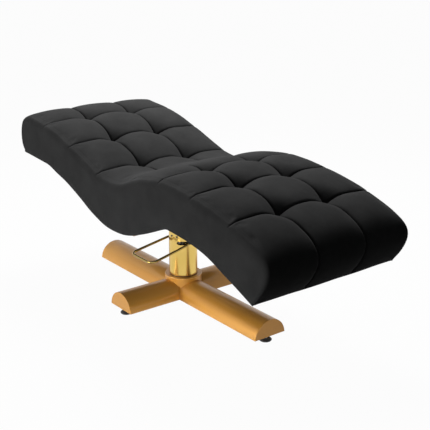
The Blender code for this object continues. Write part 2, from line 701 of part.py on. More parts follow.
def build_sleeve(base):
    """The polished tube round the pump, with its windows, seat, cap, seal and screws."""
    seat_outer = SLEEVE_RADIUS - GAP
    seat = ring(seat_outer - SEAT_RING_WIDTH, seat_outer, HUB_TOP + GAP, HUB_TOP + GAP + SEAT_RING_HEIGHT)
    add("seat_ring", seat, BLACK_PLASTIC, base)

    sleeve = add(
        "pump_sleeve", ring(SLEEVE_BORE, SLEEVE_RADIUS, SLEEVE_BOTTOM, SLEEVE_TOP), POLISHED_GOLD, base
    )
    corner = min(WINDOW_CORNER, WINDOW_HEIGHT / 2 - GAP)
    outline = rounded_rectangle(
        -WINDOW_TOP, -WINDOW_BOTTOM, -PIVOT_SETBACK - WINDOW_FRONT, -PIVOT_SETBACK + WINDOW_BACK,
        corner, WINDOW_CORNER_STEPS,
    )
    reach = SLEEVE_RADIUS + SLEEVE_WALL
    cut(sleeve, "side_windows", laid_along_x(prism(outline, -reach, reach)))

    outside = SLEEVE_BORE - GAP
    inside = outside - CAP_WALL
    hole = BUSH_RADIUS + GAP
    roof = SLEEVE_TOP - CAP_ROOF
    outline = [
        (inside, SLEEVE_CAP_BOTTOM), (outside, SLEEVE_CAP_BOTTOM), (outside, SLEEVE_TOP),
        (hole, SLEEVE_TOP), (hole, roof), (inside, roof),
    ]
    cap = add("sleeve_cap", turned([outline], ROUND_SIDES, closed=True), BLACK_PLASTIC, base)

    wiper = ring(
        RAM_RADIUS + RUN_GAP, BUSH_RADIUS, SLEEVE_TOP - WIPER_DEPTH, SLEEVE_TOP + WIPER_RISE, RAM_SIDES
    )
    add("wiper_seal", wiper, RUBBER, base)

    height = SLEEVE_CAP_BOTTOM + SCREW_INSET
    turns = [Matrix.Rotation(math.radians(angle), 4, "Z") for angle in SCREW_ANGLES.values()]
    holes = laid_along_x(rod(SCREW_RADIUS + HOLE_GAP, inside - GAP, SLEEVE_RADIUS + SLEEVE_WALL))
    cut(sleeve, "sleeve_screw_holes", repeated(holes, turns), (0, 0, height))
    holes = laid_along_x(rod(SCREW_RADIUS + HOLE_GAP, inside - CAP_WALL, SLEEVE_RADIUS))
    cut(cap, "cap_screw_holes", repeated(holes, turns), (0, 0, height))
    head = SLEEVE_RADIUS + GAP
    outline = [
        (0, inside), (SCREW_RADIUS, inside), (SCREW_RADIUS, head), (SCREW_HEAD_RADIUS, head),
        (SCREW_HEAD_RADIUS, head + SCREW_HEAD_HEIGHT), (0, head + SCREW_HEAD_HEIGHT),
    ]
    for name, angle in SCREW_ANGLES.items():
        screw = laid_along_x(turned([outline], SMALL_SIDES))
        add("sleeve_screw_" + name, screw, BLACK_PLASTIC, base, (0, 0, height), math.radians(angle))


def bend(corner, before, after, radius, steps):
    """Points of an arc that rounds a corner between two directions."""
    angle = before.angle(after)
    trim = radius * math.tan(angle / 2)
    start, end = corner - before * trim, corner + after * trim
    normal = before.cross(after).normalized()
    centre = start + normal.cross(before) * radius
    return [
        centre + Matrix.Rotation(angle * step / steps, 3, normal) @ (start - centre)
        for step in range(steps + 1)
    ]


def build_pedal(pivot):
    """The bent rod loop on its pivot, and the ears and bar that push the plunger."""
    arm = Vector((PEDAL_SPLAY, -PEDAL_REACH, -PEDAL_DROP))
    side = X_AXIS * ARM_PLACE
    down_arm = arm.normalized()
    right = [X_AXIS * STUB_END]
    right += bend(side, X_AXIS, down_arm, STUB_CORNER, BEND_STEPS)
    right += bend(side + arm, down_arm, -X_AXIS, PEDAL_CORNER, BEND_STEPS)
    left = [Vector((-point.x, point.y, point.z)) for point in reversed(right)]
    path = right + left
    curve = bpy.data.curves.new("pedal_loop", "CURVE")
    curve.dimensions = "3D"
    curve.bevel_depth = ROD_RADIUS
    curve.bevel_resolution = 2
    curve.render_resolution_u = 0
    curve.use_fill_caps = True
    spline = curve.splines.new("POLY")
    spline.points.add(len(path) - 1)
    for point, place in zip(spline.points, path):
        point.co = (*place, 1)
    curve.materials.append(POLISHED_GOLD)
    loop = bpy.data.objects.new("pedal_loop", curve)
    bpy.context.scene.collection.objects.link(loop)
    loop.parent = pivot

    middle = (EAR_INNER + EAR_OUTER) / 2
    bar = laid_along_x(rod(BAR_RADIUS, -middle, middle))
    bmesh.ops.translate(bar, verts=bar.verts, vec=-Y_AXIS * BAR_SETBACK)
    rocker = add("rocker", bar, STEEL, pivot)
    for name, sign in (("left", -1), ("right", 1)):
        near, far = sorted((sign * EAR_INNER, sign * EAR_OUTER))
        outline = []
        for centre, first in ((0, -math.pi / 2), (-BAR_SETBACK, math.pi / 2)):
            for step in range(SMALL_SIDES // 2 + 1):
                angle = first + math.pi * step / (SMALL_SIDES // 2)
                outline.append((EAR_RADIUS * math.sin(angle), centre + EAR_RADIUS * math.cos(angle)))
        ear = laid_along_x(prism(outline, near, far))
        cut(rocker, "ear_" + name, ear, operation="UNION")
    bore = laid_along_x(rod(ROD_RADIUS + GAP * 2, -EAR_OUTER - GAP, EAR_OUTER + GAP))
    cut(rocker, "stub_bores", bore)


def build_plunger(base, axis):
    """The pump's plunger under the rocker bar, and the spring that lifts it."""
    collar_top = PLUNGER_TOP - PLUNGER_COLLAR_DROP
    collar_bottom = collar_top - PLUNGER_COLLAR_HEIGHT
    bottom = HEAD_BOTTOM - PLUNGER_DEPTH + HEAD_THICKNESS / 2
    outline = [
        (0, bottom), (PLUNGER_RADIUS, bottom), (PLUNGER_RADIUS, collar_bottom),
        (PLUNGER_COLLAR_RADIUS, collar_bottom), (PLUNGER_COLLAR_RADIUS, collar_top),
        (PLUNGER_RADIUS, collar_top), (PLUNGER_RADIUS, PLUNGER_TOP), (0, PLUNGER_TOP),
    ]
    add("plunger", turned([outline], SMALL_SIDES), STEEL, axis)

    low = HEAD_TOP + GAP + SPRING_WIRE
    high = collar_bottom - GAP - SPRING_WIRE
    count = SPRING_TURNS * SPRING_STEPS
    curve = bpy.data.curves.new("plunger_spring", "CURVE")
    curve.dimensions = "3D"
    curve.bevel_depth = SPRING_WIRE
    curve.bevel_resolution = 0
    curve.render_resolution_u = 0
    curve.use_fill_caps = True
    spline = curve.splines.new("POLY")
    spline.points.add(count)
    for index, point in enumerate(spline.points):
        angle = math.tau * index / SPRING_STEPS
        rise = low + (high - low) * index / count
        point.co = (SPRING_RADIUS * math.cos(angle), SPRING_RADIUS * math.sin(angle), rise, 1)
    curve.materials.append(STEEL)
    spring = bpy.data.objects.new("plunger_spring", curve)
    bpy.context.scene.collection.objects.link(spring)
    spring.parent = axis


def build_ram(lift):
    """The ram with its piston, flange and spigot, and what rides on its top."""
    piston = RAM_RADIUS + PISTON_GROWTH
    piston_top = PISTON_BOTTOM + PISTON_HEIGHT
    nut_bottom = PLATE_TOP + SWIVEL_GAP
    nut_top = nut_bottom + SWIVEL_NUT_HEIGHT
    tip = nut_top + SPIGOT_END
    outline = [
        (0, PISTON_BOTTOM), (piston, PISTON_BOTTOM), (piston, piston_top), (RAM_RADIUS, piston_top),
        (RAM_RADIUS, FLANGE_BOTTOM), (FLANGE_RADIUS - RAM_BEVEL, FLANGE_BOTTOM),
        (FLANGE_RADIUS, FLANGE_BOTTOM + RAM_BEVEL), (FLANGE_RADIUS, FLANGE_TOP),
        (SPIGOT_RADIUS, FLANGE_TOP), (SPIGOT_RADIUS, tip), (0, tip),
    ]
    add("ram", turned([outline], RAM_SIDES), STEEL, lift)
    inner = SPIGOT_RADIUS + GAP
    washer = ring(inner, FLANGE_RADIUS, WASHER_BOTTOM, WASHER_BOTTOM + WASHER_THICKNESS, RAM_SIDES)
    add("thrust_washer", washer, BLACK_PLASTIC, lift)
    nut = turned(
        [[(inner + GAP, nut_bottom), (SWIVEL_NUT_RADIUS, nut_bottom),
          (SWIVEL_NUT_RADIUS, nut_top), (inner + GAP, nut_top)]],
        SMALL_SIDES, closed=True,
    )
    add("swivel_nut", nut, STEEL, lift)


def build_mounting(bed):
    """The plate that turns on the ram, its bolts and the two beams above it."""
    half_length, half_width = PLATE_LENGTH / 2, PLATE_WIDTH / 2
    outline = rounded_rectangle(
        -half_length, half_length, -half_width, half_width, PLATE_CORNER, WINDOW_CORNER_STEPS
    )
    plate = add("mounting_plate", prism(outline, PLATE_BOTTOM, PLATE_TOP), STEEL, bed)
    bore = rod(SPIGOT_RADIUS + GAP * 2, PLATE_BOTTOM - GAP, PLATE_TOP + GAP, ROUND_SIDES)
    cut(plate, "spigot_bore", bore)
    corners = [(x, y) for x in (-BEAM_PLACE, BEAM_PLACE) for y in (-PLATE_BOLT_PLACE, PLATE_BOLT_PLACE)]
    tool = hole_tool(corners, BOLT_RADIUS + HOLE_GAP, PLATE_BOTTOM - GAP, PLATE_TOP + GAP)
    cut(plate, "plate_bolt_holes", tool)

    tip = BED_UNDERSIDE + PLATE_BOLT_BITE
    for number, (x, y) in enumerate(corners, 1):
        add(f"plate_bolt_{number}", bolt_shape(PLATE_BOTTOM - GAP, tip), STEEL, bed, (x, y, 0))

    for name, place in (("head", -BEAM_PLACE), ("foot", BEAM_PLACE)):
        ends = places_between(place - BEAM_WIDTH / 2, place + BEAM_WIDTH / 2)
        beam = layer(
            ends, -BETWEEN_RAILS, BETWEEN_RAILS,
            lambda x: BED_UNDERSIDE, lambda x: layer_height(x, FRAME_DEPTH),
        )
        made = add("mount_beam_" + name, beam, PLYWOOD, bed)
        holes = [(place, y) for y in (-PLATE_BOLT_PLACE, PLATE_BOLT_PLACE)]
        tool = hole_tool(holes, BOLT_RADIUS + HOLE_GAP, BED_UNDERSIDE - GAP, tip + GAP)
        cut(made, "beam_bolt_holes_" + name, tool)


def build_bed_frame(bed):
    """Rails, end boards, ribs, deck, foam and the dust covers under them."""
    low, high = INSIDE_HEAD + GAP, INSIDE_FOOT - GAP
    places = places_between(low, high)
    for name, sign in (("front", -1), ("back", 1)):
        near, far = sorted((sign * RAIL_INSIDE, sign * FRAME_SIDE))
        rail = layer(
            places, near, far,
            lambda x: under_height(x, RAIL_LIFT), lambda x: layer_height(x, FRAME_DEPTH),
        )
        add("side_rail_" + name, rail, PLYWOOD, bed)
    deck = layer(
        places, -FRAME_SIDE, FRAME_SIDE,
        lambda x: layer_height(x, DECK_DEPTH + DECK_THICKNESS), lambda x: layer_height(x, DECK_DEPTH),
    )
    add("deck_board", deck, PLYWOOD, bed)
    foam = layer(
        places, -FRAME_SIDE, FRAME_SIDE,
        lambda x: layer_height(x, FOAM_DEPTH + FOAM_THICKNESS), lambda x: layer_height(x, FOAM_DEPTH),
    )
    add("foam_slab", foam, FOAM, bed)

    boards = [("head_board", low, low + RAIL_THICKNESS, RAIL_LIFT),
              ("foot_board", high - RAIL_THICKNESS, high, RAIL_LIFT)]
    for number, share in enumerate(RIB_SHARES, 1):
        middle = share * BED_LENGTH - PUMP_X
        ends = (middle - RIB_THICKNESS / 2, middle + RIB_THICKNESS / 2)
        boards.append((f"rib_{number}", *ends, RIB_LIFT))
    for name, start, end, lift in boards:
        board = layer(
            places_between(start, end), -BETWEEN_RAILS, BETWEEN_RAILS,
            lambda x: under_height(x, lift), lambda x: layer_height(x, FRAME_DEPTH),
        )
        add(name, board, PLYWOOD, bed)

    sheet = layer(
        places, -FRAME_SIDE, FRAME_SIDE,
        lambda x: under_height(x, DUST_LIFT), lambda x: under_height(x, DUST_LIFT + DUST_THICKNESS),
    )
    dust_cover = add("dust_cover", sheet, DUST_CLOTH, bed)
    edge = BEAM_PLACE + BEAM_WIDTH / 2 + GAP
    outline = ((-edge, -BETWEEN_RAILS), (edge, -BETWEEN_RAILS), (edge, BETWEEN_RAILS), (-edge, BETWEEN_RAILS))
    opening = prism(outline, BED_UNDERSIDE - BEAM_WIDTH, BED_UNDERSIDE + BEAM_WIDTH)
    cut(dust_cover, "beam_opening", opening)


def outer_stations():
    """Points of the outline for the cover's rows, with the index of each transverse seam."""
    lengths = [0.0]
    for start, end in zip(OUTER, OUTER[1:]):
        lengths.append(lengths[-1] + (end - start).length)

    def length_at(x):
        for index in range(HEAD_TIP, FOOT_TIP):
            start, end = OUTER[index], OUTER[index + 1]
            if start.x <= x <= end.x:
                share = (x - start.x) / (end.x - start.x)
                return lengths[index] + share * (lengths[index + 1] - lengths[index])
        return lengths[FOOT_TIP]

    seams = [length_at(share * BED_LENGTH - PUMP_X) for share in SEAM_PLACE_SHARES]
    keys = [0.0, lengths[HEAD_TIP], *seams, lengths[FOOT_TIP], lengths[-1]]
    panels = [HEAD_LIP_SHARES, HEAD_OVER_SHARES]
    panels += [PANEL_SHARES] * (len(seams) - 1)
    panels += [FOOT_OVER_SHARES, FOOT_LIP_SHARES]
    marks = [0.0]
    for start, end, shares in zip(keys, keys[1:], panels):
        marks += [start + (end - start) * share for share in shares]
    rows = []
    for mark in marks:
        index = max(i for i in range(len(lengths) - 1) if lengths[i] <= mark + MERGE)
        start, end = OUTER[index], OUTER[index + 1]
        share = min(1.0, (mark - lengths[index]) / (lengths[index + 1] - lengths[index]))
        tangent = (OUTER[min(index + 2, len(OUTER) - 1)] - OUTER[max(index - 1, 0)]).normalized()
        rows.append((mark, start.lerp(end, share), Vector((-tangent.y, tangent.x))))
    return rows, seams, lengths[-1]


def tuft_depth(along, seams, across, fade):
    """How far the cover is drawn in at a place, from its creases, pillows and tufts."""
    column = BED_WIDTH * SEAM_COLUMN_SHARE
    to_row = min(abs(along - seam) for seam in seams)
    to_column = abs(abs(across) - column)
    row_pillow = max(0.0, 1 - to_row / (BED_WIDTH * SEAM_COLUMN_SHARE)) ** 2
    column_pillow = max(0.0, 1 - to_column / column) ** 2
    tuft = math.exp(-math.hypot(to_row, to_column) / TUFT_SPREAD)
    crease = SEAM_DEPTH * max(row_pillow, column_pillow)
    return fade * (crease + PILLOW_DEPTH * (row_pillow + column_pillow) / 2 + TUFT_DEPTH * tuft)


def build_cover(bed):
    """The tufted velvet cover with its wadding, a tub turned over the bed's frame."""
    rows, seams, length = outer_stations()
    column = BED_WIDTH * SEAM_COLUMN_SHARE
    edge = HALF_WIDTH - EDGE_ROUND
    half = [-edge]
    half += [-edge + (edge - column) * share for share in EDGE_COLUMN_SHARES]
    half += [-column, -column * (1 - PANEL_SHARES[0]), -column / 2]
    across = half + [0.0] + [-y for y in reversed(half)]
    bm = bmesh.new()
    grid = []
    for along, point, normal in rows:
        reach = min(along, length - along)
        fade = min(1.0, reach / SEAM_FADE)
        growth = math.sin(min(1.0, reach / EDGE_ROUND_GROWTH) * math.pi / 2)
        radius = max(EDGE_ROUND_LEAST, EDGE_ROUND * growth)
        foot_x = min(max(point.x, HEAD_CORNER), FOOT_CORNER)
        foot = Vector((foot_x, height_at(UNDER, foot_x)))
        shoulder = point - normal * radius
        belt = (foot + shoulder) / 2
        sunk = min(1.0, (shoulder - foot).length / EDGE_ROUND_GROWTH)
        side = [(foot, HALF_WIDTH), (belt, HALF_WIDTH - SIDE_DRAW_IN * sunk)]
        for step in range(EDGE_STEPS):
            angle = math.pi / 2 * step / EDGE_STEPS
            out = HALF_WIDTH - radius * (1 - math.cos(angle))
            draw = tuft_depth(along, seams, out, fade) * math.sin(angle)
            side.append((point - normal * (radius * (1 - math.sin(angle)) + draw), out))
        line = [(place.x, -out, place.y) for place, out in side]
        for y in across:
            place = point - normal * tuft_depth(along, seams, y, fade)
            place.y += CROWN * max(0.0, normal.y) * math.cos(math.pi / 2 * y / HALF_WIDTH)
            spread = 1 + (EDGE_ROUND - radius) / edge
            line.append((place.x, y * spread, place.y))
        line += [(place.x, out, place.y) for place, out in reversed(side)]
        grid.append([bm.verts.new(spot) for spot in line])
    for first, second in zip(grid, grid[1:]):
        for index in range(len(first) - 1):
            bm.faces.new((first[index], first[index + 1], second[index + 1], second[index]))

    inner = []
    for x in INNER_PLACES:
        low, high = under_height(x), layer_height(x, COVER_PAD)
        corners = ((-COVER_INSIDE, low), (-COVER_INSIDE, high), (COVER_INSIDE, high), (COVER_INSIDE, low))
        inner.append([bm.verts.new((x, y, z)) for y, z in corners])
    for first, second in zip(inner, inner[1:]):
        for index in range(len(first) - 1):
            bm.faces.new((first[index], first[index + 1], second[index + 1], second[index]))
    bm.faces.new(inner[0])
    bm.faces.new(inner[-1])
    bmesh.ops.remove_doubles(bm, verts=bm.verts, dist=MERGE)
    rims = [line for line in bm.edges if line.is_boundary]
    bmesh.ops.bridge_loops(bm, edges=rims)
    bmesh.ops.dissolve_degenerate(bm, edges=bm.edges, dist=MERGE)
    add("velvet_cover", bm, VELVET, bed)


base_axis = axis_empty("base_axis", (PUMP_X, 0, 0))
build_legs(base_axis)
build_spider(base_axis)
build_hub(base_axis)
build_pump(base_axis)
build_sleeve(base_axis)
build_pedal(axis_empty("pedal_axis", (PUMP_X, -PIVOT_SETBACK, PIVOT_HEIGHT)))
build_plunger(base_axis, axis_empty("plunger_axis", (PUMP_X, PLUNGER_PLACE, 0)))
build_ram(axis_empty("lift_axis", (PUMP_X, 0, 0)))
swivel_axis = axis_empty("swivel_axis", (PUMP_X, 0, 0))
build_mounting(swivel_axis)
build_bed_frame(swivel_axis)
build_cover(swivel_axis)
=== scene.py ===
import json
import math

import bmesh
import bpy
import numpy as np
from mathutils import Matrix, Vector


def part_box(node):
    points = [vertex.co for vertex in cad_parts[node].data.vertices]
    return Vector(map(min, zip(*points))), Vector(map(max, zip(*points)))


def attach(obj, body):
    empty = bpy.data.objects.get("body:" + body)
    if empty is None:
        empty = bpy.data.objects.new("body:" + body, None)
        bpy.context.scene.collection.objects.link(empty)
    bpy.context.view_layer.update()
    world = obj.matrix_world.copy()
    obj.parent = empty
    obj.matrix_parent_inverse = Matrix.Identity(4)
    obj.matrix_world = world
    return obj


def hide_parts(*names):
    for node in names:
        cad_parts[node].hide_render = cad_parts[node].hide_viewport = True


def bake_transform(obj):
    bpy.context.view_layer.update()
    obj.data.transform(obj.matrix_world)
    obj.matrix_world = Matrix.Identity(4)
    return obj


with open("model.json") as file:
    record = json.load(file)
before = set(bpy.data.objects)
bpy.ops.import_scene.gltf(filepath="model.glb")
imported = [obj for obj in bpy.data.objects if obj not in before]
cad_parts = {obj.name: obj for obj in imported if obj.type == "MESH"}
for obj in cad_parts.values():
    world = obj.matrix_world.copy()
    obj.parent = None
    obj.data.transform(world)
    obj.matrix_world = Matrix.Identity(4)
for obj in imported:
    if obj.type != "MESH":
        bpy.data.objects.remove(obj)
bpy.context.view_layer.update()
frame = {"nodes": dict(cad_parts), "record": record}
BODIES = frame["record"]["behaviour"]["bodies"]
NODE_BODY = {node: body for body, nodes in BODIES.items() for node in nodes}
NODE_SLOT = {entry["node"]: entry["material_slot"] for entry in frame["record"]["subparts"]}
SCENE = bpy.context.scene

# Camera, at the photograph's place in the row frame
CAMERA_PLACE = (2.8102, -2.0396, 1.5278)
CAMERA_AZIMUTH = math.radians(52.38)
CAMERA_ELEVATION = math.radians(18.02)
SENSOR = 36.0
LENS = 71.16

# Studio: floor and world look white, and give little light back to the bed
FLOOR_REACH = 30.0
FLOOR_CORNERS = ((-1, -1), (1, -1), (1, 1), (-1, 1))
FLOOR_TONE = 0.60
FLOOR_BOUNCE = 0.12
FLOOR_GLOW = 0.97
FLOOR_ROUGHNESS = 0.9
FLOOR_SPECULAR = 0.1
WORLD_TINT = (0.9, 0.92, 0.95, 1)
WORLD_DIM = 0.04
WHITE = (1, 1, 1, 1)
BED_MIDDLE = (0, 0, 0.5)
FRONT_LEG = (-0.03, -0.08, 0.06)
LAMPS = {
    "key": {"place": (-1.1, -4.8, 0.8), "target": BED_MIDDLE, "size": (3.4, 1.4), "power": 180},
    "top": {"place": (-1.15, 1.0, 2.8), "target": BED_MIDDLE, "size": (1.4, 1.0), "power": 112},
    "fill": {"place": (1.9, -1.9, 0.12), "target": FRONT_LEG, "size": (0.5, 0.2), "power": 0.9},
}
FILL_SPREAD = math.radians(28)

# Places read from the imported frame
COVER_LOW, COVER_HIGH = np.array(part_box("velvet_cover"))
LENGTHWISE, ACROSS, UPWARD = np.eye(3)
BED_LENGTH = COVER_HIGH[0] - COVER_LOW[0]
HALF_WIDTH = (COVER_HIGH[1] - COVER_LOW[1]) / 2
BED_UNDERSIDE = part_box("mount_beam_head")[0][2]

# The padded bed
PROFILE_RISE = 0.3655
SIDE_PAD = 0.012
EDGE_ROUND = 0.031
EDGE_ROUND_LEAST = 0.004
EDGE_ROUND_LENGTH = 0.250
EDGE_ROUND_POWER = 1.3
DROOP = 0.001
DROOP_START = 0.200
DROOP_LENGTH = 0.100
SIDE_DRAW_IN = 0.004
SIDE_DRAW_LENGTH = 0.150
HEM_ROUND = 0.0035
HEM_MARKS = (0.0, 0.0008, 0.0020, 0.0036)
HEM_CLEAR = 1.5
CROWN = 0.015
CROWN_LENGTH = 0.450
WALL_MATCH = 0.60
OUTLINE_STEP = 0.002
SMOOTHING = 0.008

OUTER_SHARES = (
    (-0.4813, 0.4985), (-0.4954, 0.605), (-0.5, 0.736), (-0.4954, 0.862),
    (-0.485, 0.942), (-0.457, 1.0), (-0.416, 0.991), (-0.371, 0.966),
    (-0.316, 0.917), (-0.26, 0.84), (-0.193, 0.739), (-0.126, 0.629),
    (-0.0872, 0.5845), (-0.044, 0.574), (-0.006, 0.61), (0.036, 0.694),
    (0.093, 0.764), (0.158, 0.804), (0.245, 0.7725), (0.333, 0.702),
    (0.411, 0.5985), (0.466, 0.4985), (0.493, 0.396), (0.5, 0.299),
    (0.4945, 0.19), (0.4795, 0.064), (0.458, -0.064),
)
UNDER_SHARES = (
    (-0.4813, 0.4985), (-0.474, 0.4915), (-0.456, 0.493), (-0.4372, 0.4955), (-0.4029, 0.488),
    (-0.3696, 0.4705), (-0.3374, 0.44), (-0.3061, 0.396), (-0.2454, 0.3105), (-0.1875, 0.201),
    (-0.1323, 0.085), (-0.0777, 0.0145), (-0.0242, 0.0), (0.0273, 0.029), (0.0772, 0.1112),
    (0.1256, 0.2065), (0.1713, 0.2965), (0.19, 0.2985), (0.211, 0.293), (0.2632, 0.266),
    (0.3, 0.231), (0.3362, 0.1758), (0.3741, 0.101), (0.411, 0.0314), (0.429, -0.006),
    (0.446, -0.042), (0.458, -0.064),
)
SEAM_PLACE_SHARES = (-0.3657, -0.2404, -0.1123, 0.027, 0.144, 0.2582, 0.3825)
SEAM_STRENGTH = (0.85, 1.0, 1.0, 0.30, 1.0, 1.0, 1.0)
SEAM_COLUMN_SHARE = 1 / 6
CURVE_STEPS = 16

# Tufting
PUFF = 0.0080
PUFF_POWER = 0.8
PUFF_NOSE_LENGTH = 0.20
PUFF_NOSE_FADE = 0.12
CREASE_DEPTH = 0.0015
CREASE_NEAR_TUFT = 0.0150
CREASE_NEAR_REACH = 0.055
CREASE_REACH = 0.050
CREASE_POWER = 2.0
GROOVE_DEPTH = 0.0070
GROOVE_SPREAD = 0.0028
TUFT_DEPTH = 0.0250
TUFT_REACH = 0.095
SEAM_FADE_START = 0.310
SEAM_FADE_END = 0.400
NOSE_FADE = 0.030
ROW_CLUSTER = 0.78

# Rows and columns of the velvet's mesh
PANEL_ROWS = 36
NOSE_ROWS = 44
OUTER_COLUMNS = 30
MIDDLE_COLUMNS = 40
ROUND_ROWS = 14
WALL_ROWS = 24

# Plywood
PLY_THICKNESS = 0.0015
PLY_RIPPLE = 0.0002
PLY_EDGES = (
    (0.00, (0.30, 0.19, 0.10)), (0.06, (0.62, 0.46, 0.29)), (0.46, (0.58, 0.42, 0.26)),
    (0.52, (0.30, 0.19, 0.10)), (0.58, (0.42, 0.28, 0.15)), (0.96, (0.45, 0.30, 0.17)),
)
VENEER = ((0.30, (0.47, 0.33, 0.19)), (0.55, (0.64, 0.48, 0.30)), (0.75, (0.55, 0.39, 0.23)))
GRAIN_ACROSS = 40
GRAIN_ALONG = 3

# Hard pieces, remade from their CAD nodes with smooth curves and eased edges
LEGS = ("foot", "back", "head", "front")
EASED_NODES = {
    **{"leg_" + leg: 0.0018 for leg in LEGS}, **{"leg_cap_" + leg: 0.0010 for leg in LEGS},
    "hub_collar": 0.0014, "spider_plate": 0.0004, "pump_sleeve": 0.0002, "sleeve_cap": 0.0005,
    "seat_ring": 0.0003, **{"sleeve_screw_" + end: 0.0003 for end in ("left", "right", "back")},
    "rocker": 0.0004, "pump_head": 0.0005, "wiper_seal": 0.0004, "ram": 0.0004,
    "thrust_washer": 0.0003, "mounting_plate": 0.0006,
    **{"plate_bolt_" + number: 0.0004 for number in "1234"},
    **{"leg_bolt_" + leg: 0.0004 for leg in LEGS}, **{"glide_pad_" + leg: 0.0006 for leg in LEGS},
    **{"glide_stem_" + leg: 0.0003 for leg in LEGS},
}
EASE_SEGMENTS = 2
EASE_ANGLE = math.radians(35)
MERGE = 0.00001
FLAT_ANGLE = math.radians(0.4)
ROUND_WALL_LEAST = 0.9
ROUND_WALL_FACING = 0.99
ROD_CUTS = 2
ROD_CUT_SHARE = 0.25
ROD_SIDES = 24

# Foam slab
FOAM_ROUND = 0.008
FOAM_ROUND_STEPS = 5
FOAM_COLUMNS = 44
FOAM_WAIST = 0.0015
FOAM_DIMPLE = 0.0050
FOAM_DIMPLE_REACH = 0.045
FOAM_STEP = 0.012
FOAM_LIFT = 0.0002
FOAM_UNDER_SKIP = 4

# Dust cloth under the bed
CLOTH_THICKNESS = 0.0006
CLOTH_LIFT = 0.0008
CLOTH_STEP = 0.014
CLOTH_SAG = 0.0014
CLOTH_COLUMNS = 46
CLOTH_SAG_LENGTH = 0.10
CLOTH_RIPPLE = 0.00015
CLOTH_WAVES = ((70, 40), (-30, 55))
STAPLE_PITCH = 0.045
STAPLE_INSET = 0.009
STAPLE_LENGTH = 0.010
STAPLE_WIDTH = 0.0012
STAPLE_HEIGHT = 0.0006
STAPLE_SINK = 0.4
STAPLE_REACH = 0.003
STAPLE_SECTION = ((-0.5, 0.0), (-0.3, -0.5), (0.3, -0.5), (0.5, 0.0), (0.3, 0.5), (-0.3, 0.5))
STAPLE_PATH = (
    (-0.5, 0.55), (-0.46, 0.1), (-0.36, 0.0), (0.0, -0.05), (0.36, 0.0), (0.46, 0.1), (0.5, 0.55),
)
STAPLE_COLOUR = (0.20, 0.20, 0.21)

# The plunger's spring
SPRING_WIRE = 0.0007
SPRING_TURNS = 7
SPRING_CLOSED = 1.0
SPRING_CLOSED_PITCH = 0.00155
SPRING_STEPS = 28
SPRING_SIDES = 12

# Cloth simulation that swells the velvet between its seams
SIM_STEP = 2
SIM_FRAMES = 20
SIM_PRESSURE = 4.0
SIM_CAP = 0.0045
SIM_SIDE_CAP = 0.0020
SIM_QUALITY = 5
SIM_PIN_REACH = 0.004

# Meshes read and closed
TUB_TOLERANCE = 0.0002
SHARP_ANGLE = math.radians(50)
VELVET_MERGE = 0.00005
TINY = 1e-9

# Lasting waves in the padding: radians per metre along x, y and z, start and strength
UNEVENNESS = 0.0010
WAVES = ((23, 11, 0, 1.0, 1.0), (17, -29, 8, 2.3, 1.0), (41, 13, -19, 0.7, 0.6))
WAVES_SUM = 2.6

# Finishes whose colour, gloss and grain vary a little over the piece. A base is colour, roughness
# and metallic share. Where edges wear bright, worn is their colour.
FINISHES = {
    # Zinc-plated steel with a patchy spangle and fine tool marks
    "steel": {
        "base": ((0.56, 0.57, 0.59), 0.34, 1.0),
        "patches": {"scale": 60.0, "detail": 4.0, "roughness": 0.6},
        "tones": ((0.3, (0.46, 0.47, 0.50)), (0.7, (0.64, 0.65, 0.66))),
        "worn": (0.78, 0.78, 0.79), "gloss": (0.25, 0.45),
        "grain": {"scale": 500.0, "detail": 2.0, "stretch": (1, 1, 6)}, "bump": (0.00005, 0.3),
    },
    # Sintered bronze, slightly oily and stained
    "bronze": {
        "base": ((0.58, 0.37, 0.17), 0.38, 1.0),
        "patches": {"scale": 90.0, "detail": 4.0},
        "tones": ((0.3, (0.40, 0.24, 0.11)), (0.7, (0.66, 0.44, 0.21))),
        "gloss": (0.28, 0.48),
        "grain": {"scale": 2500.0}, "bump": (0.00008, 0.4),
    },
    # Black enamel over a turned cylinder, with some orange peel
    "pump_paint": {
        "base": ((0.028, 0.028, 0.030), 0.34, 0.0),
        "patches": {"scale": 35.0, "detail": 5.0},
        "tones": ((0.35, (0.022, 0.022, 0.024)), (0.75, (0.046, 0.045, 0.044))),
        "worn": (0.12, 0.12, 0.12), "gloss": (0.28, 0.46),
        "grain": {"scale": 260.0, "detail": 1.0}, "bump": (0.0003, 0.25),
    },
    # Moulded black nylon with a fine spark-eroded grain
    "black_plastic": {
        "base": ((0.016, 0.016, 0.017), 0.48, 0.0),
        "patches": {"scale": 50.0, "detail": 3.0},
        "tones": ((0.3, (0.012, 0.012, 0.013)), (0.7, (0.022, 0.022, 0.023))),
        "worn": (0.06, 0.06, 0.06), "gloss": (0.40, 0.58),
        "grain": {"scale": 1800.0, "detail": 2.0}, "bump": (0.0001, 0.5),
    },
    # Black rubber with a dusty, matt skin
    "rubber": {
        "base": ((0.020, 0.020, 0.020), 0.82, 0.0),
        "patches": {"scale": 70.0, "detail": 5.0, "roughness": 0.7},
        "tones": ((0.35, (0.014, 0.014, 0.014)), (0.8, (0.048, 0.046, 0.043))),
        "gloss": (0.72, 0.92),
        "grain": {"scale": 900.0}, "bump": (0.0001, 0.4),
    },
}
EDGE_FLAT = 0.53
EDGE_SHARP = 0.62
GOLD = {"low": (0.71, 0.50, 0.135), "high": (0.78, 0.55, 0.17), "smooth": 0.14, "drawn": 0.75}
# Pedal rod gold: a darker copy of the polished gold plate, a painted reflection of the black velvet
# above the rod
REFLECTION_PAINTED_GOLD = {"low": (0.34, 0.235, 0.065), "high": (0.40, 0.28, 0.085), "smooth": 0.04, "drawn": 0.0}
GOLD_SMEAR = 0.10


def placed(name, data):
    """An object in the scene that holds the data."""
    made = bpy.data.objects.new(name, data)
    SCENE.collection.objects.link(made)
    return made


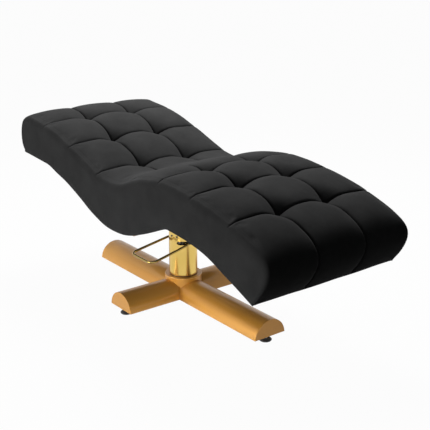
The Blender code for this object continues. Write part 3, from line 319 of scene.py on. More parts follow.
def surface(name, colour, roughness, metallic=0.0):
    """A Principled material."""
    made = bpy.data.materials.new(name)
    made.use_nodes = True
    return Wiring(made).feed(Base_Color=(*colour, 1.0), Roughness=roughness, Metallic=metallic)


class Wiring:
    """Adds nodes to the tree of a material or world and links them."""

    def __init__(self, owner):
        self.owner = owner
        self.tree = owner.node_tree
        self.shader = self.tree.nodes.get("Principled BSDF")

    def node(self, kind, **values):
        """A node with its settings and inputs, whose names have underscores for spaces."""
        made = self.tree.nodes.new("ShaderNode" + kind)
        for key, value in values.items():
            name = key.replace("_", " ")
            if name in made.inputs:
                made.inputs[name].default_value = value
            else:
                setattr(made, key, value)
        return made

    def link(self, source, target):
        """Links a socket to an input, or gives the input a value."""
        if isinstance(source, bpy.types.NodeSocket):
            self.tree.links.new(source, target)
        else:
            target.default_value = source

    def feed(self, **given):
        """The owner, once its shader's inputs are linked or have their values."""
        for key, value in given.items():
            self.link(value, self.shader.inputs[key.replace("_", " ")])
        return self.owner

    def places(self, scale=(1, 1, 1)):
        """Object coordinates, in metres, stretched by a scale."""
        made = self.node("Mapping", Scale=scale)
        self.link(self.node("TexCoord").outputs["Object"], made.inputs["Vector"])
        return made.outputs["Vector"]

    def noise(self, scale, detail=2.0, roughness=0.5, stretch=(1, 1, 1)):
        """A noise pattern's strength."""
        made = self.node("TexNoise", Scale=scale, Detail=detail, Roughness=roughness)
        self.link(self.places(stretch), made.inputs["Vector"])
        return made.outputs["Fac"]

    def ramp(self, factor, stops):
        """Colours blended by a factor."""
        made = self.node("ValToRGB")
        elements = made.color_ramp.elements
        while len(elements) < len(stops):
            elements.new(0.5)
        for element, (place, colour) in zip(elements, stops):
            element.position = place
            element.color = (*colour, 1.0)
        self.link(factor, made.inputs["Fac"])
        return made.outputs["Color"]

    def spread(self, factor, low, high):
        """A factor from 0 to 1 mapped between two numbers."""
        made = self.node("MapRange", To_Min=low, To_Max=high)
        self.link(factor, made.inputs["Value"])
        return made.outputs["Result"]

    def arithmetic(self, operation, first, second=None):
        """A sum on a socket and, where given, a second socket or number."""
        made = self.node("Math", operation=operation)
        self.link(first, made.inputs[0])
        if second is not None:
            self.link(second, made.inputs[1])
        return made.outputs[0]

    def blend(self, factor, first, second):
        """Two colours mixed by a factor."""
        made = self.node("Mix", data_type="RGBA")
        for place, given in ((0, factor), (6, first), (7, second)):
            self.link(given, made.inputs[place])
        return made.outputs[2]

    def edges(self, worn, colour):
        """A colour that turns to another where the surface has a sharp outer edge."""
        made = self.node("MapRange", From_Min=EDGE_FLAT, From_Max=EDGE_SHARP)
        self.link(self.node("NewGeometry").outputs["Pointiness"], made.inputs["Value"])
        return self.blend(made.outputs["Result"], colour, (*worn, 1.0))

    def cells(self, scale, randomness=1.0):
        """Distance to the middle of the nearest cell."""
        made = self.node("TexVoronoi", Scale=scale, Randomness=randomness)
        self.link(self.places(), made.inputs["Vector"])
        return made.outputs["Distance"]

    def bump(self, height, distance, strength=1.0, after=None):
        """A bump whose height is in metres."""
        made = self.node("Bump", Strength=strength, Distance=distance)
        self.link(height, made.inputs["Height"])
        if after:
            self.link(after, made.inputs["Normal"])
        return made.outputs["Normal"]

    def mixed(self, factor, first, second):
        """Two shaders mixed by a factor."""
        made = self.node("MixShader")
        self.link(factor, made.inputs["Fac"])
        self.link(first, made.inputs[1])
        self.link(second, made.inputs[2])
        return made.outputs["Shader"]

    def rays(self):
        """The kinds of light ray, and which come from the camera or a glossy piece."""
        kinds = self.node("LightPath").outputs
        return kinds, self.arithmetic("MAXIMUM", kinds["Is Camera Ray"], kinds["Is Glossy Ray"])


def velvet_material():
    """Black velvet: a short pile that lightens at grazing angles."""
    wiring = Wiring(surface("velvet", (0.022, 0.022, 0.022), 0.80))
    pressed = wiring.noise(9.0, detail=3.0, roughness=0.6)
    pile = wiring.noise(1400.0, detail=1.0)
    soft = wiring.bump(wiring.noise(38.0, detail=3.0), 0.0006, 0.35)
    return wiring.feed(
        Base_Color=wiring.ramp(pressed, ((0.3, (0.028,) * 3), (0.7, (0.038,) * 3))),
        Normal=wiring.bump(pile, 0.0003, 0.5, after=soft),
        Sheen_Weight=0.07, Sheen_Roughness=0.50, Sheen_Tint=(0.54, 0.54, 0.55, 1.0),
        Specular_IOR_Level=0.01,
    )


def satin_gold_material():
    """Gold paint over rolled tube, with fine metal flake under its clear coat."""
    wiring = Wiring(surface("satin_gold", (0.57, 0.262, 0.036), 0.40, 0.38))
    flake = wiring.noise(900.0, detail=1.0)
    colour = wiring.ramp(flake, ((0.3, (0.53, 0.240, 0.030)), (0.7, (0.61, 0.284, 0.042))))
    peel = wiring.bump(wiring.noise(160.0, detail=1.0), 0.0002, 0.15)
    return wiring.feed(
        Base_Color=wiring.edges((0.74, 0.42, 0.13), colour),
        Roughness=wiring.spread(wiring.noise(14.0, detail=4.0), 0.40, 0.54),
        Normal=wiring.bump(wiring.noise(1500.0), 0.00005, 0.25, after=peel),
        Coat_Weight=0.50, Coat_Roughness=0.10, Specular_IOR_Level=0.20,
    )


def polished_gold_material(name, low, high, smooth, drawn):
    """Gold plate with faint rubbing marks, between two tones and drawn out as turning leaves it."""
    wiring = Wiring(surface(name, low, smooth, 1.0))
    tone = wiring.noise(7.0, detail=3.0)
    smear = wiring.noise(22.0, detail=5.0, stretch=(1, 1, 0.35))
    rubbed = wiring.noise(300.0, detail=2.0, stretch=(0.04, 0.04, 1))
    return wiring.feed(
        Base_Color=wiring.ramp(tone, ((0.3, low), (0.7, high))),
        Anisotropic=drawn,
        Roughness=wiring.spread(smear, smooth, smooth + GOLD_SMEAR),
        Normal=wiring.bump(rubbed, 0.00003, 0.20),
    )


def plywood_material(name, axis):
    """Birch plywood, its plies stacked along an axis (0, 1 or 2)."""
    wiring = Wiring(surface(name, (0.55, 0.40, 0.24), 0.62))
    parts = wiring.node("SeparateXYZ")
    wiring.link(wiring.node("TexCoord").outputs["Object"], parts.inputs[0])
    ripple = wiring.spread(wiring.noise(30.0, detail=2.0), -PLY_RIPPLE, PLY_RIPPLE)
    moved = wiring.arithmetic("ADD", parts.outputs[axis], ripple)
    stacked = wiring.arithmetic("MULTIPLY", moved, 0.5 / PLY_THICKNESS)
    cut = wiring.ramp(wiring.arithmetic("FRACT", stacked), PLY_EDGES)
    stretch = [GRAIN_ACROSS] * 3
    stretch[0 if axis else 1] = GRAIN_ALONG
    grain = wiring.noise(3.0, detail=6.0, roughness=0.65, stretch=stretch)
    return wiring.feed(
        Base_Color=wiring.blend(0.5, cut, wiring.ramp(grain, VENEER)),
        Roughness=wiring.spread(grain, 0.50, 0.72),
        Normal=wiring.bump(grain, 0.0004, 0.35),
    )


def varied_material(name):
    """A finish from the table above, with its patches, worn edges and grain."""
    facts = FINISHES[name]
    wiring = Wiring(surface(name, *facts["base"]))
    patches = wiring.noise(**facts["patches"])
    colour = wiring.ramp(patches, facts["tones"])
    if "worn" in facts:
        colour = wiring.edges(facts["worn"], colour)
    return wiring.feed(
        Base_Color=colour,
        Roughness=wiring.spread(patches, *facts["gloss"]),
        Normal=wiring.bump(wiring.noise(**facts["grain"]), *facts["bump"]),
    )


def foam_material():
    """Cream upholstery foam with open cells."""
    wiring = Wiring(surface("foam", (0.72, 0.64, 0.42), 0.95))
    aged = wiring.noise(6.0, detail=4.0)
    return wiring.feed(
        Base_Color=wiring.ramp(aged, ((0.3, (0.64, 0.54, 0.32)), (0.7, (0.78, 0.70, 0.48)))),
        Normal=wiring.bump(wiring.cells(900.0), 0.0008, 0.8),
        Subsurface_Weight=0.1, Subsurface_Radius=(0.004, 0.003, 0.002),
    )


def dust_cloth_material():
    """Black spun-bonded cloth with its grid of pressed dots and stray fibres."""
    wiring = Wiring(surface("dust_cloth", (0.018, 0.018, 0.019), 0.9))
    pressed = wiring.bump(wiring.cells(420.0, randomness=0.0), 0.0004, 0.7)
    fibres = wiring.noise(260.0, detail=5.0, roughness=0.7, stretch=(1, 5, 1))
    colour = wiring.ramp(fibres, ((0.3, (0.012, 0.012, 0.013)), (0.7, (0.030, 0.030, 0.032))))
    return wiring.feed(
        Base_Color=colour,
        Roughness=wiring.spread(fibres, 0.8, 0.98),
        Normal=wiring.bump(fibres, 0.0003, 0.5, after=pressed),
    )


MATERIALS = {
    "velvet": velvet_material(),
    "satin_gold": satin_gold_material(),
    "polished_gold": polished_gold_material("polished_gold", **GOLD),
    **{name: varied_material(name) for name in FINISHES},
    "foam": foam_material(),
    "dust_cloth": dust_cloth_material(),
}
# The pedal rod's gold, darkened as a painted reflection of the black bed over it rather than the
# plate's own colour
ROD_REFLECTION_PAINTED = polished_gold_material("rod_gold_painted_reflection", **REFLECTION_PAINTED_GOLD)
PLYWOOD = [plywood_material("plywood_" + letter, axis) for axis, letter in enumerate("xyz")]


def dress_nodes():
    """Gives every CAD node the material of its slot; plywood also follows the board's thin side."""
    for name, slot in NODE_SLOT.items():
        material = MATERIALS.get(slot)
        if slot == "plywood":
            low, high = np.array(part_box(name))
            material = PLYWOOD[2 if name == "deck_board" else int(np.argmin(high - low))]
        for place in frame["nodes"][name].material_slots:
            place.material = material


def smooth_curve(points):
    """A Catmull-Rom curve through the points."""
    points = np.array(points)
    padded = np.vstack([2 * points[0] - points[1], points, 2 * points[-1] - points[-2]])
    t = np.linspace(0, 1, CURVE_STEPS, endpoint=False)[:, None]
    pieces = []
    for before, start, end, after in zip(padded, padded[1:], padded[2:], padded[3:]):
        pieces.append(
            (2 * start + (end - before) * t
             + (2 * before - 5 * start + 4 * end - after) * t ** 2
             + (3 * start - before - 3 * end + after) * t ** 3) / 2
        )
    return np.vstack(pieces + [points[-1:]])


def travelled(line):
    """Length along a line at each of its points."""
    return np.concatenate([[0.0], np.cumsum(np.linalg.norm(np.diff(line, axis=0), axis=1))])


def at_length(line, lengths, marks):
    """Points of a line at the given lengths along it."""
    return np.stack([np.interp(marks, lengths, line[:, axis]) for axis in range(line.shape[1])], -1)


def bed_curve(shares):
    """An outline of shares as evenly spaced places in the row frame, softened a little."""
    line = smooth_curve([(x * BED_LENGTH, BED_UNDERSIDE + z * PROFILE_RISE) for x, z in shares])
    lengths = travelled(line)
    marks = np.linspace(0, lengths[-1], int(lengths[-1] / OUTLINE_STEP))
    even = at_length(line, lengths, marks)
    reach = int(3 * SMOOTHING / OUTLINE_STEP)
    steps = np.arange(-reach, reach + 1)
    weights = np.exp(-0.5 * (steps * OUTLINE_STEP / SMOOTHING) ** 2)
    weights /= weights.sum()
    before = 2 * even[0] - even[reach:0:-1]
    after = 2 * even[-1] - even[-2:-reach - 2:-1]
    padded = np.vstack([before, even, after])
    return np.stack([np.convolve(padded[:, axis], weights, "valid") for axis in range(2)], -1)


OUTER = bed_curve(OUTER_SHARES)
UNDER = bed_curve(UNDER_SHARES)
OUTER_LENGTHS = travelled(OUTER)
OUTER_LENGTH = OUTER_LENGTHS[-1]
HEAD_TIP = int(np.argmin(OUTER[:, 0]))
FOOT_TIP = int(np.argmax(OUTER[:, 0]))


def clustered(start, end, count):
    """Marks from start to end that lie closer together near both."""
    even = np.linspace(0, 1, count + 1)
    drawn = (1 - np.cos(math.pi * even)) / 2
    return start + (end - start) * (ROW_CLUSTER * drawn + (1 - ROW_CLUSTER) * even)


# Cross seams as lengths along the outline, and the long seams' distance from the middle
TOP = slice(HEAD_TIP, FOOT_TIP + 1)
SEAMS = np.interp(np.array(SEAM_PLACE_SHARES) * BED_LENGTH, OUTER[TOP, 0], OUTER_LENGTHS[TOP])
COLUMN = 2 * HALF_WIDTH * SEAM_COLUMN_SHARE


def eased(value):
    """A share from 0 to 1 with flat ends."""
    value = np.clip(value, 0, 1)
    return value * value * (3 - 2 * value)


def puff_height(along, across, edge):
    """How far each pillow stands up between its seams."""
    knots = [SEAMS[0] - PUFF_NOSE_LENGTH, *SEAMS, SEAMS[-1] + PUFF_NOSE_LENGTH]
    row = np.interp(along, knots, np.arange(len(knots))) % 1.0
    away = np.abs(across)
    beyond = np.clip((away - COLUMN) / (edge - COLUMN), 0, 1)
    column = np.where(away < COLUMN, (away / COLUMN + 1) / 2, beyond)
    nose = eased(np.minimum(along, OUTER_LENGTH - along) / PUFF_NOSE_FADE)
    shape = (4 * row * (1 - row)) ** PUFF_POWER * (4 * column * (1 - column)) ** PUFF_POWER
    return PUFF * shape * nose


def tuft_depth(along, across):
    """How deep the velvet is drawn in at places on the unrolled top."""
    to_row = np.abs(along[..., None] - SEAMS).min(axis=-1)
    to_column = np.abs(np.abs(across) - COLUMN)
    row_end = eased((SEAM_FADE_END - np.abs(across)) / (SEAM_FADE_END - SEAM_FADE_START))
    to_tuft = np.hypot(to_row, to_column)
    near = np.exp(-to_tuft / CREASE_NEAR_REACH)
    depth = CREASE_DEPTH + (CREASE_NEAR_TUFT - CREASE_DEPTH) * near
    row = np.clip(1 - to_row / CREASE_REACH, 0, 1) ** CREASE_POWER * row_end
    column = np.clip(1 - to_column / CREASE_REACH, 0, 1) ** CREASE_POWER
    cone = 1 - np.sin(math.pi / 2 * np.clip(to_tuft / TUFT_REACH, 0, 1))
    row_groove = np.exp(-to_row / GROOVE_SPREAD) * row_end
    groove = np.maximum(row_groove, np.exp(-to_column / GROOVE_SPREAD))
    strength = np.interp(along, SEAMS, SEAM_STRENGTH)
    crease = depth * (1 - (1 - row) * (1 - column))
    return strength * (crease + TUFT_DEPTH * cone + GROOVE_DEPTH * groove)


def hem_inset(distance):
    """How far the skin turns in at a distance from the bed's lower edge."""
    reach = np.clip(1 - distance / HEM_ROUND, 0, 1)
    return HEM_ROUND * (1 - np.sqrt(1 - reach ** 2))


def wall_feet(along, line):
    """Places on the bed's lower edge where each row's side wall starts."""
    lengths = travelled(UNDER)
    inner = np.abs(line[:, 0]) < WALL_MATCH
    by_place = np.interp(line[inner, 0], UNDER[:, 0], lengths)
    knots = np.concatenate([[0.0], along[inner], [OUTER_LENGTH]])
    marks = np.concatenate([[0.0], by_place, [lengths[-1]]])
    return at_length(UNDER, lengths, np.interp(along, knots, marks))


def velvet_rows():
    """Length along the outline of each row of the velvet's mesh."""
    marks = [clustered(0.0, SEAMS[0], NOSE_ROWS)]
    for start, end in zip(SEAMS, SEAMS[1:]):
        marks.append(clustered(start, end, PANEL_ROWS)[1:])
    marks.append(clustered(SEAMS[-1], OUTER_LENGTH, NOSE_ROWS)[1:])
    inner = np.concatenate(marks)
    clear = HEM_ROUND * HEM_CLEAR
    inner = inner[(inner > clear) & (inner < OUTER_LENGTH - clear)]
    hem = np.array(HEM_MARKS)
    return np.concatenate([hem, inner, OUTER_LENGTH - hem[::-1]])


def velvet_grid(along):
    """Points of the velvet's outer face: rows along the bed, columns round its section."""
    line = at_length(OUTER, OUTER_LENGTHS, along)
    tangent = np.gradient(OUTER, axis=0)
    tangent /= np.linalg.norm(tangent, axis=1)[:, None]
    tangent = at_length(tangent, OUTER_LENGTHS, along)
    normal = np.stack([-tangent[:, 1], tangent[:, 0]], -1)
    foot = wall_feet(along, line)
    along = along[:, None]
    reach = np.minimum(along, OUTER_LENGTH - along)
    line = line - normal * hem_inset(reach)

    growth = np.clip(reach / EDGE_ROUND_LENGTH, 0, 1) ** EDGE_ROUND_POWER
    radius = EDGE_ROUND_LEAST + (EDGE_ROUND - EDGE_ROUND_LEAST) * growth
    droop = DROOP * eased(reach / DROOP_LENGTH)
    tilt = np.arctan(2 * droop / (HALF_WIDTH - radius - DROOP_START))
    edge = HALF_WIDTH - radius * (1 - np.sin(tilt))
    fade = eased(reach / NOSE_FADE)

    def section(across, lowered, rise=0.0):
        """Points of every row's section, lowered square to the outline and then raised."""
        x = line[:, [0]] - normal[:, [0]] * lowered
        return np.stack([x, across, line[:, [1]] - normal[:, [1]] * lowered + rise], -1)

    outer_half = COLUMN + (edge - COLUMN) * clustered(0, 1, OUTER_COLUMNS)[None, :]
    inner = clustered(-COLUMN, COLUMN, MIDDLE_COLUMNS)[None, 1:-1]
    middle = np.repeat(inner, len(along), axis=0)
    across = np.concatenate([-outer_half[:, ::-1], middle, outer_half], axis=1)
    beyond = (np.abs(across) - DROOP_START) / (edge - DROOP_START)
    sag = droop * np.clip(beyond, 0, 1) ** 2
    lowered = tuft_depth(along, across) * fade + sag
    lowered -= puff_height(along, across, edge)
    crown = CROWN * eased(reach / CROWN_LENGTH) * np.maximum(0, normal[:, [1]])
    top = section(across, lowered, crown * np.cos(math.pi / 2 * across / HALF_WIDTH))

    quarter = math.pi / 2 - tilt
    turns = np.linspace(0, 1, ROUND_ROWS + 1)[None, :-1] * quarter
    drawn = tuft_depth(along, edge + radius * (quarter - turns)) * fade
    rounded = radius * (np.cos(tilt) - np.sin(turns))
    lowered = droop + rounded + drawn * np.sin(turns)
    corner = section(HALF_WIDTH - radius * (1 - np.cos(turns)), lowered)

    shoulder = corner[:, 0][:, [0, 2]]
    height = np.linalg.norm(shoulder - foot, axis=1)[:, None]
    even = np.linspace(0, 1, WALL_ROWS + 1)[:-1]
    wall = np.repeat(even[None, :], len(along), axis=0)
    for index, mark in enumerate(HEM_MARKS):
        wall[:, [index]] = np.minimum(mark / np.maximum(height, HEM_ROUND), even[index])
    waist = SIDE_DRAW_IN * eased(reach / SIDE_DRAW_LENGTH)
    place = foot[:, None, :] + (shoulder - foot)[:, None, :] * wall[..., None]
    out = HALF_WIDTH - waist * np.sin(math.pi * wall) - hem_inset(wall * height)
    side = np.stack([place[..., 0], out, place[..., 1]], -1)

    far = np.concatenate([side, corner], axis=1)
    near = far * np.array([1, -1, 1])
    return np.concatenate([near, top, far[:, ::-1]], axis=1)


def unevenness(points):
    """Small lasting waves in the padding, the same in every run."""
    x, y, z = points[..., 0], points[..., 1], points[..., 2]
    total = 0.0
    for along, across, up, start, strength in WAVES:
        total = total + np.sin(along * x + across * y + up * z + start) * strength
    return total * UNEVENNESS / WAVES_SUM


def grid_normals(grid):
    """Unit normals of a grid of points."""
    along = np.gradient(grid, axis=0)
    round_it = np.gradient(grid, axis=1)
    normal = np.cross(along, round_it)
    length = np.linalg.norm(normal, axis=-1, keepdims=True)
    return normal / np.maximum(length, TINY)


def grid_faces(rows, columns):
    """Quads of a grid."""
    number = np.arange(rows * columns).reshape(rows, columns)
    quads = np.stack([number[:-1, :-1], number[1:, :-1], number[1:, 1:], number[:-1, 1:]], -1)
    return [tuple(int(i) for i in quad) for quad in quads.reshape(-1, 4)]


def stretched(values, picks, count, axis):
    """Values known at some rows or columns, read at all of them."""
    moved = np.moveaxis(values, axis, 0)
    flat = moved.reshape(moved.shape[0], -1)
    full = np.stack([np.interp(np.arange(count), picks, column) for column in flat.T], axis=1)
    return np.moveaxis(full.reshape(count, *moved.shape[1:]), 0, axis)


def swollen(grid, along):
    """The grid after a cloth simulation that blows each pillow up between its seams."""
    sizes = grid.shape[:2]
    row_picks, column_picks = (
        np.unique(np.append(np.arange(0, size, SIM_STEP), size - 1)) for size in sizes
    )
    coarse = grid[np.ix_(row_picks, column_picks)]
    mesh = bpy.data.meshes.new("swelling")
    faces = grid_faces(*coarse.shape[:2])
    mesh.from_pydata([tuple(point) for point in coarse.reshape(-1, 3)], [], faces)
    cloth_object = placed("swelling", mesh)

    middle = np.abs(coarse[..., 1])
    to_row = np.abs(along[row_picks][:, None] - SEAMS).min(axis=1)[:, None]
    to_column = np.abs(middle - COLUMN)
    on_seam = (to_row < SIM_PIN_REACH) & (middle < HALF_WIDTH - EDGE_ROUND)
    on_seam |= to_column < SIM_PIN_REACH
    on_seam[[0, -1]] = True
    on_seam[:, [0, 1, -2, -1]] = True
    pins = cloth_object.vertex_groups.new(name="pins")
    pins.add([int(i) for i in np.flatnonzero(on_seam.ravel())], 1.0, "REPLACE")

    cloth = cloth_object.modifiers.new("cloth", "CLOTH")
    settings = cloth.settings
    settings.quality = SIM_QUALITY
    settings.use_pressure = True
    settings.uniform_pressure_force = SIM_PRESSURE
    settings.effector_weights.gravity = 0
    settings.vertex_group_mass = "pins"
    cloth.point_cache.frame_start = 1
    cloth.point_cache.frame_end = SIM_FRAMES
    for step in range(1, SIM_FRAMES + 1):
        SCENE.frame_set(step)
    graph = bpy.context.evaluated_depsgraph_get()
    moved = np.empty(coarse.size)
    cloth_object.evaluated_get(graph).data.vertices.foreach_get("co", moved)
    SCENE.frame_set(1)
    bpy.data.objects.remove(cloth_object)
    bpy.data.meshes.remove(mesh)

    shift = moved.reshape(coarse.shape) - coarse
    size = np.linalg.norm(shift, axis=-1, keepdims=True)
    on_side = (middle > HALF_WIDTH - EDGE_ROUND / 2)[..., None]
    cap = np.where(on_side, SIM_SIDE_CAP, SIM_CAP)
    shift *= np.where(size > 0, cap * np.tanh(size / cap) / np.maximum(size, TINY), 0)
    full = stretched(shift, row_picks, sizes[0], 0)
    return grid + stretched(full, column_picks, sizes[1], 1)


def bodiless_object(name, points, faces, material):
    """A piece made from points and faces, on no body yet."""
    mesh = bpy.data.meshes.new(name)
    mesh.from_pydata([tuple(point) for point in points], [], faces)
    mesh.materials.append(material)
    mesh.shade_smooth()
    made = placed(name, mesh)
    return made


def mesh_object(name, points, faces, material, body):
    """A piece made from points and faces, riding on a body."""
    made = bodiless_object(name, points, faces, material)
    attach(made, body)
    return made


def layer_stations(name, inside):
    """Stations along a CAD layer at one of its sides: place along the bed, low and high edge."""
    found = {}
    for x, y, z in (vertex.co for vertex in frame["nodes"][name].data.vertices):
        if abs(y - inside) < TUB_TOLERANCE:
            found.setdefault(round(x, 4), []).append((x, z))
    stations = []
    for _, places in sorted(found.items()):
        levels = [z for _, z in places]
        stations.append((places[0][0], min(levels), max(levels)))
    return np.array(stations)


def add_tub(bm):
    """Adds the hollow to a mesh, open at its lower rim."""
    inside = HALF_WIDTH - SIDE_PAD
    rings = []
    for x, low, high in layer_stations("velvet_cover", inside):
        corners = ((-inside, low), (-inside, high), (inside, high), (inside, low))
        rings.append([bm.verts.new((x, y, z)) for y, z in corners])
    for first, second in zip(rings, rings[1:]):
        for index in range(len(corners) - 1):
            side = first[index], first[index + 1], second[index + 1], second[index]
            bm.faces.new(side)
    bm.faces.new(rings[0])
    bm.faces.new(rings[-1])


def write_back(bm, mesh):
    """Writes an edited shape to its mesh, shaded smooth."""
    bm.to_mesh(mesh)
    bm.free()
    mesh.shade_smooth()


def merge_flat(bm):
    """Joins a CAD mesh's triangles into its flat faces."""
    bmesh.ops.remove_doubles(bm, verts=bm.verts, dist=MERGE)
    bmesh.ops.dissolve_limit(bm, angle_limit=FLAT_ANGLE, verts=bm.verts, edges=bm.edges)


def build_hard_piece(name, width):
    """A CAD node's shape with smooth curves and eased edges, in place of its faceted solid."""
    source = frame["nodes"][name].data
    points = [vertex.co for vertex in source.vertices]
    faces = [tuple(face.vertices) for face in source.polygons]
    body, slot = NODE_BODY[name], NODE_SLOT[name]
    made = mesh_object("finished_" + name, points, faces, MATERIALS[slot], body)
    bm = bmesh.new()
    bm.from_mesh(made.data)
    merge_flat(bm)
    bmesh.ops.recalc_face_normals(bm, faces=bm.faces)
    write_back(bm, made.data)
    bevel = made.modifiers.new("eased edges", "BEVEL")
    bevel.width = width
    bevel.segments = EASE_SEGMENTS
    bevel.limit_method = "ANGLE"
    bevel.angle_limit = EASE_ANGLE
    made.modifiers.new("even shading", "WEIGHTED_NORMAL").keep_sharp = True
    graph = bpy.context.evaluated_depsgraph_get()
    finished = bpy.data.meshes.new_from_object(made.evaluated_get(graph))
    made.modifiers.clear()
    made.data = finished
    if name == "pump_sleeve":
        round_shading(finished)
    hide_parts(name)


def round_shading(mesh):
    """Gives the sleeve's round walls the normals of a true cylinder."""
    low, high = np.array(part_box("pump_sleeve"))
    middle, outer = (low + high) / 2, (high[0] - low[0]) / 2
    normals = [corner.vector.copy() for corner in mesh.corner_normals]
    for face in mesh.polygons:
        for loop, vertex in zip(face.loop_indices, face.vertices):
            place = mesh.vertices[vertex].co
            radial = Vector((place.x - middle[0], place.y - middle[1], 0.0))
            if radial.length < outer * ROUND_WALL_LEAST:
                continue
            radial.normalize()
            facing = face.normal.dot(radial)
            if abs(facing) > ROUND_WALL_FACING:
                normals[loop] = radial if facing > 0 else -radial
    mesh.normals_split_custom_set(normals)


def rod_end(bm):
    """The flat face at an end of the bent rod."""
    return max(bm.faces, key=lambda face: len(face.verts))


def rod_rings(bm):
    """Centres of the bent rod's rings of vertices, from one end to the other."""
    bm.verts.index_update()
    ring, seen, centres = set(rod_end(bm).verts), set(), []
    while ring:
        seen |= ring
        ordered = sorted(ring, key=lambda vertex: vertex.index)
        centres.append(sum((vertex.co for vertex in ordered), Vector()) / len(ring))
        near = {edge.other_vert(vertex) for vertex in ring for edge in vertex.link_edges}
        ring = near - seen
    return np.array(centres)


def ring_faces(rows, sides, start=0, flip=False):
    """Faces between rings of points that follow each other, with both ends closed."""
    faces = []
    for row in range(rows - 1):
        first = start + row * sides
        for side in range(sides):
            after = (side + 1) % sides
            quad = first + side, first + after, first + sides + after, first + sides + side
            faces.append((quad[0], *quad[:0:-1]) if flip else quad)
    last = start + (rows - 1) * sides
    ends = tuple(range(start, start + sides))[::-1], tuple(range(last, last + sides))
    return faces + [end[::-1] if flip else end for end in ends]


def tube(line, radius, sides):
    """Points and faces of a round wire along a line, closed at both ends."""
    along = np.gradient(line, axis=0)
    along /= np.linalg.norm(along, axis=1)[:, None]
    out = np.eye(3)[np.argmin(np.abs(along[0]))]
    points = []
    for place, ahead in zip(line, along):
        out = out - ahead * (out @ ahead)
        out /= np.linalg.norm(out)
        up = np.cross(ahead, out)
        for side in range(sides):
            around = 2 * math.pi * side / sides
            reach = out * math.cos(around) + up * math.sin(around)
            points.append(place + radius * reach)
    return points, ring_faces(len(line), sides)


def build_rod():
    """The pedal's bent rod, round along its whole length."""
    bm = bmesh.new()
    bm.from_mesh(frame["nodes"]["pedal_loop"].data)
    merge_flat(bm)
    line = rod_rings(bm)
    end = np.array([vertex.co for vertex in rod_end(bm).verts])
    radius = np.linalg.norm(end - end.mean(axis=0), axis=1).mean()
    bm.free()
    near, far = 1 - ROD_CUT_SHARE, ROD_CUT_SHARE
    for _ in range(ROD_CUTS):
        cut = [line[:1]]
        for start, end in zip(line, line[1:]):
            cut.append([start * near + end * far, start * far + end * near])
        line = np.concatenate(cut + [line[-1:]])
    points, faces = tube(line, radius, ROD_SIDES)
    # Painted reflection: the rod takes the darkened copy of the polished gold, not the plate's own
    # tone
    made = mesh_object("finished_pedal_loop", points, faces, ROD_REFLECTION_PAINTED, "pedal")
    made.data.set_sharp_from_angle(angle=SHARP_ANGLE)
    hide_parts("pedal_loop")


def build_velvet():
    """The tufted velvet cover: its skin, rolled hem and the hollow that the frame fills."""
    along = velvet_rows()
    grid = velvet_grid(along)
    grid = grid + grid_normals(grid) * unevenness(grid)[..., None]
    grid = swollen(grid, along)
    faces = grid_faces(*grid.shape[:2])
    points = grid.reshape(-1, 3)
    made = mesh_object("tufted_velvet", points, faces, MATERIALS["velvet"], "bed")
    bm = bmesh.new()
    bm.from_mesh(made.data)
    bmesh.ops.remove_doubles(bm, verts=bm.verts, dist=VELVET_MERGE)
    bmesh.ops.dissolve_degenerate(bm, edges=bm.edges, dist=VELVET_MERGE)
    add_tub(bm)
    rims = [line for line in bm.edges if line.is_boundary]
    bmesh.ops.bridge_loops(bm, edges=rims)
    bmesh.ops.recalc_face_normals(bm, faces=bm.faces)
    write_back(bm, made.data)
    made.data.set_sharp_from_angle(angle=SHARP_ANGLE)
    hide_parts("velvet_cover")


def finer(stations, step):
    """Stations with others put between them, about a step apart."""
    places = []
    for start, end in zip(stations[:, 0], stations[1:, 0]):
        count = max(1, round((end - start) / step))
        places += [start + (end - start) * index / count for index in range(count)]
    places = np.array(places + [stations[-1, 0]])
    columns = [np.interp(places, stations[:, 0], stations[:, index]) for index in (1, 2)]
    return np.column_stack([places, *columns])


def build_foam():
    """The foam slab, cut to the bed's curve, with rounded top edges and dimples at the tufts."""
    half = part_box("foam_slab")[1][1]
    stations = finer(layer_stations("foam_slab", half), FOAM_STEP)
    tuft_rows = at_length(OUTER, OUTER_LENGTHS, SEAMS)[:, 0]
    turns = np.linspace(0, math.pi / 2, FOAM_ROUND_STEPS + 1)
    quarter = [(1 - math.cos(turn), 1 - math.sin(turn)) for turn in turns]
    flat = np.linspace(-1, 1, FOAM_COLUMNS + 1)[1:-1] * (half - FOAM_ROUND)
    corner = [(half - FOAM_ROUND * inward, FOAM_ROUND * down) for inward, down in quarter]
    ends = min(stations[0, 0], 0), max(stations[-1, 0], 0)
    rings = []
    for x, low, high in stations:
        low, high = low + FOAM_LIFT, high - FOAM_LIFT
        waist = FOAM_WAIST * eased(min(x - ends[0], ends[1] - x) / FOAM_ROUND)
        waist_height = (low + high - FOAM_ROUND) / 2
        ring = [(-half, low), (-half + waist, waist_height)]
        ring += [(-y, high - drop) for y, drop in corner]
        for y in flat:
            away = math.hypot(np.abs(tuft_rows - x).min(), abs(abs(y) - COLUMN))
            dimple = FOAM_DIMPLE * max(0.0, 1 - away / FOAM_DIMPLE_REACH) ** 2
            ring.append((y, high - dimple))
        ring += [(y, high - drop) for y, drop in reversed(corner)]
        ring += [(half - waist, waist_height), (half, low)]
        ring += [(y, low) for y in flat[::-FOAM_UNDER_SKIP]]
        rings.append([(x, y, z) for y, z in ring])
    faces = ring_faces(len(rings), len(rings[0]), flip=True)
    points = [point for ring in rings for point in ring]
    made = mesh_object("foam_pad", points, faces, MATERIALS["foam"], "bed")
    made.data.set_sharp_from_angle(angle=SHARP_ANGLE)
    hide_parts("foam_slab")


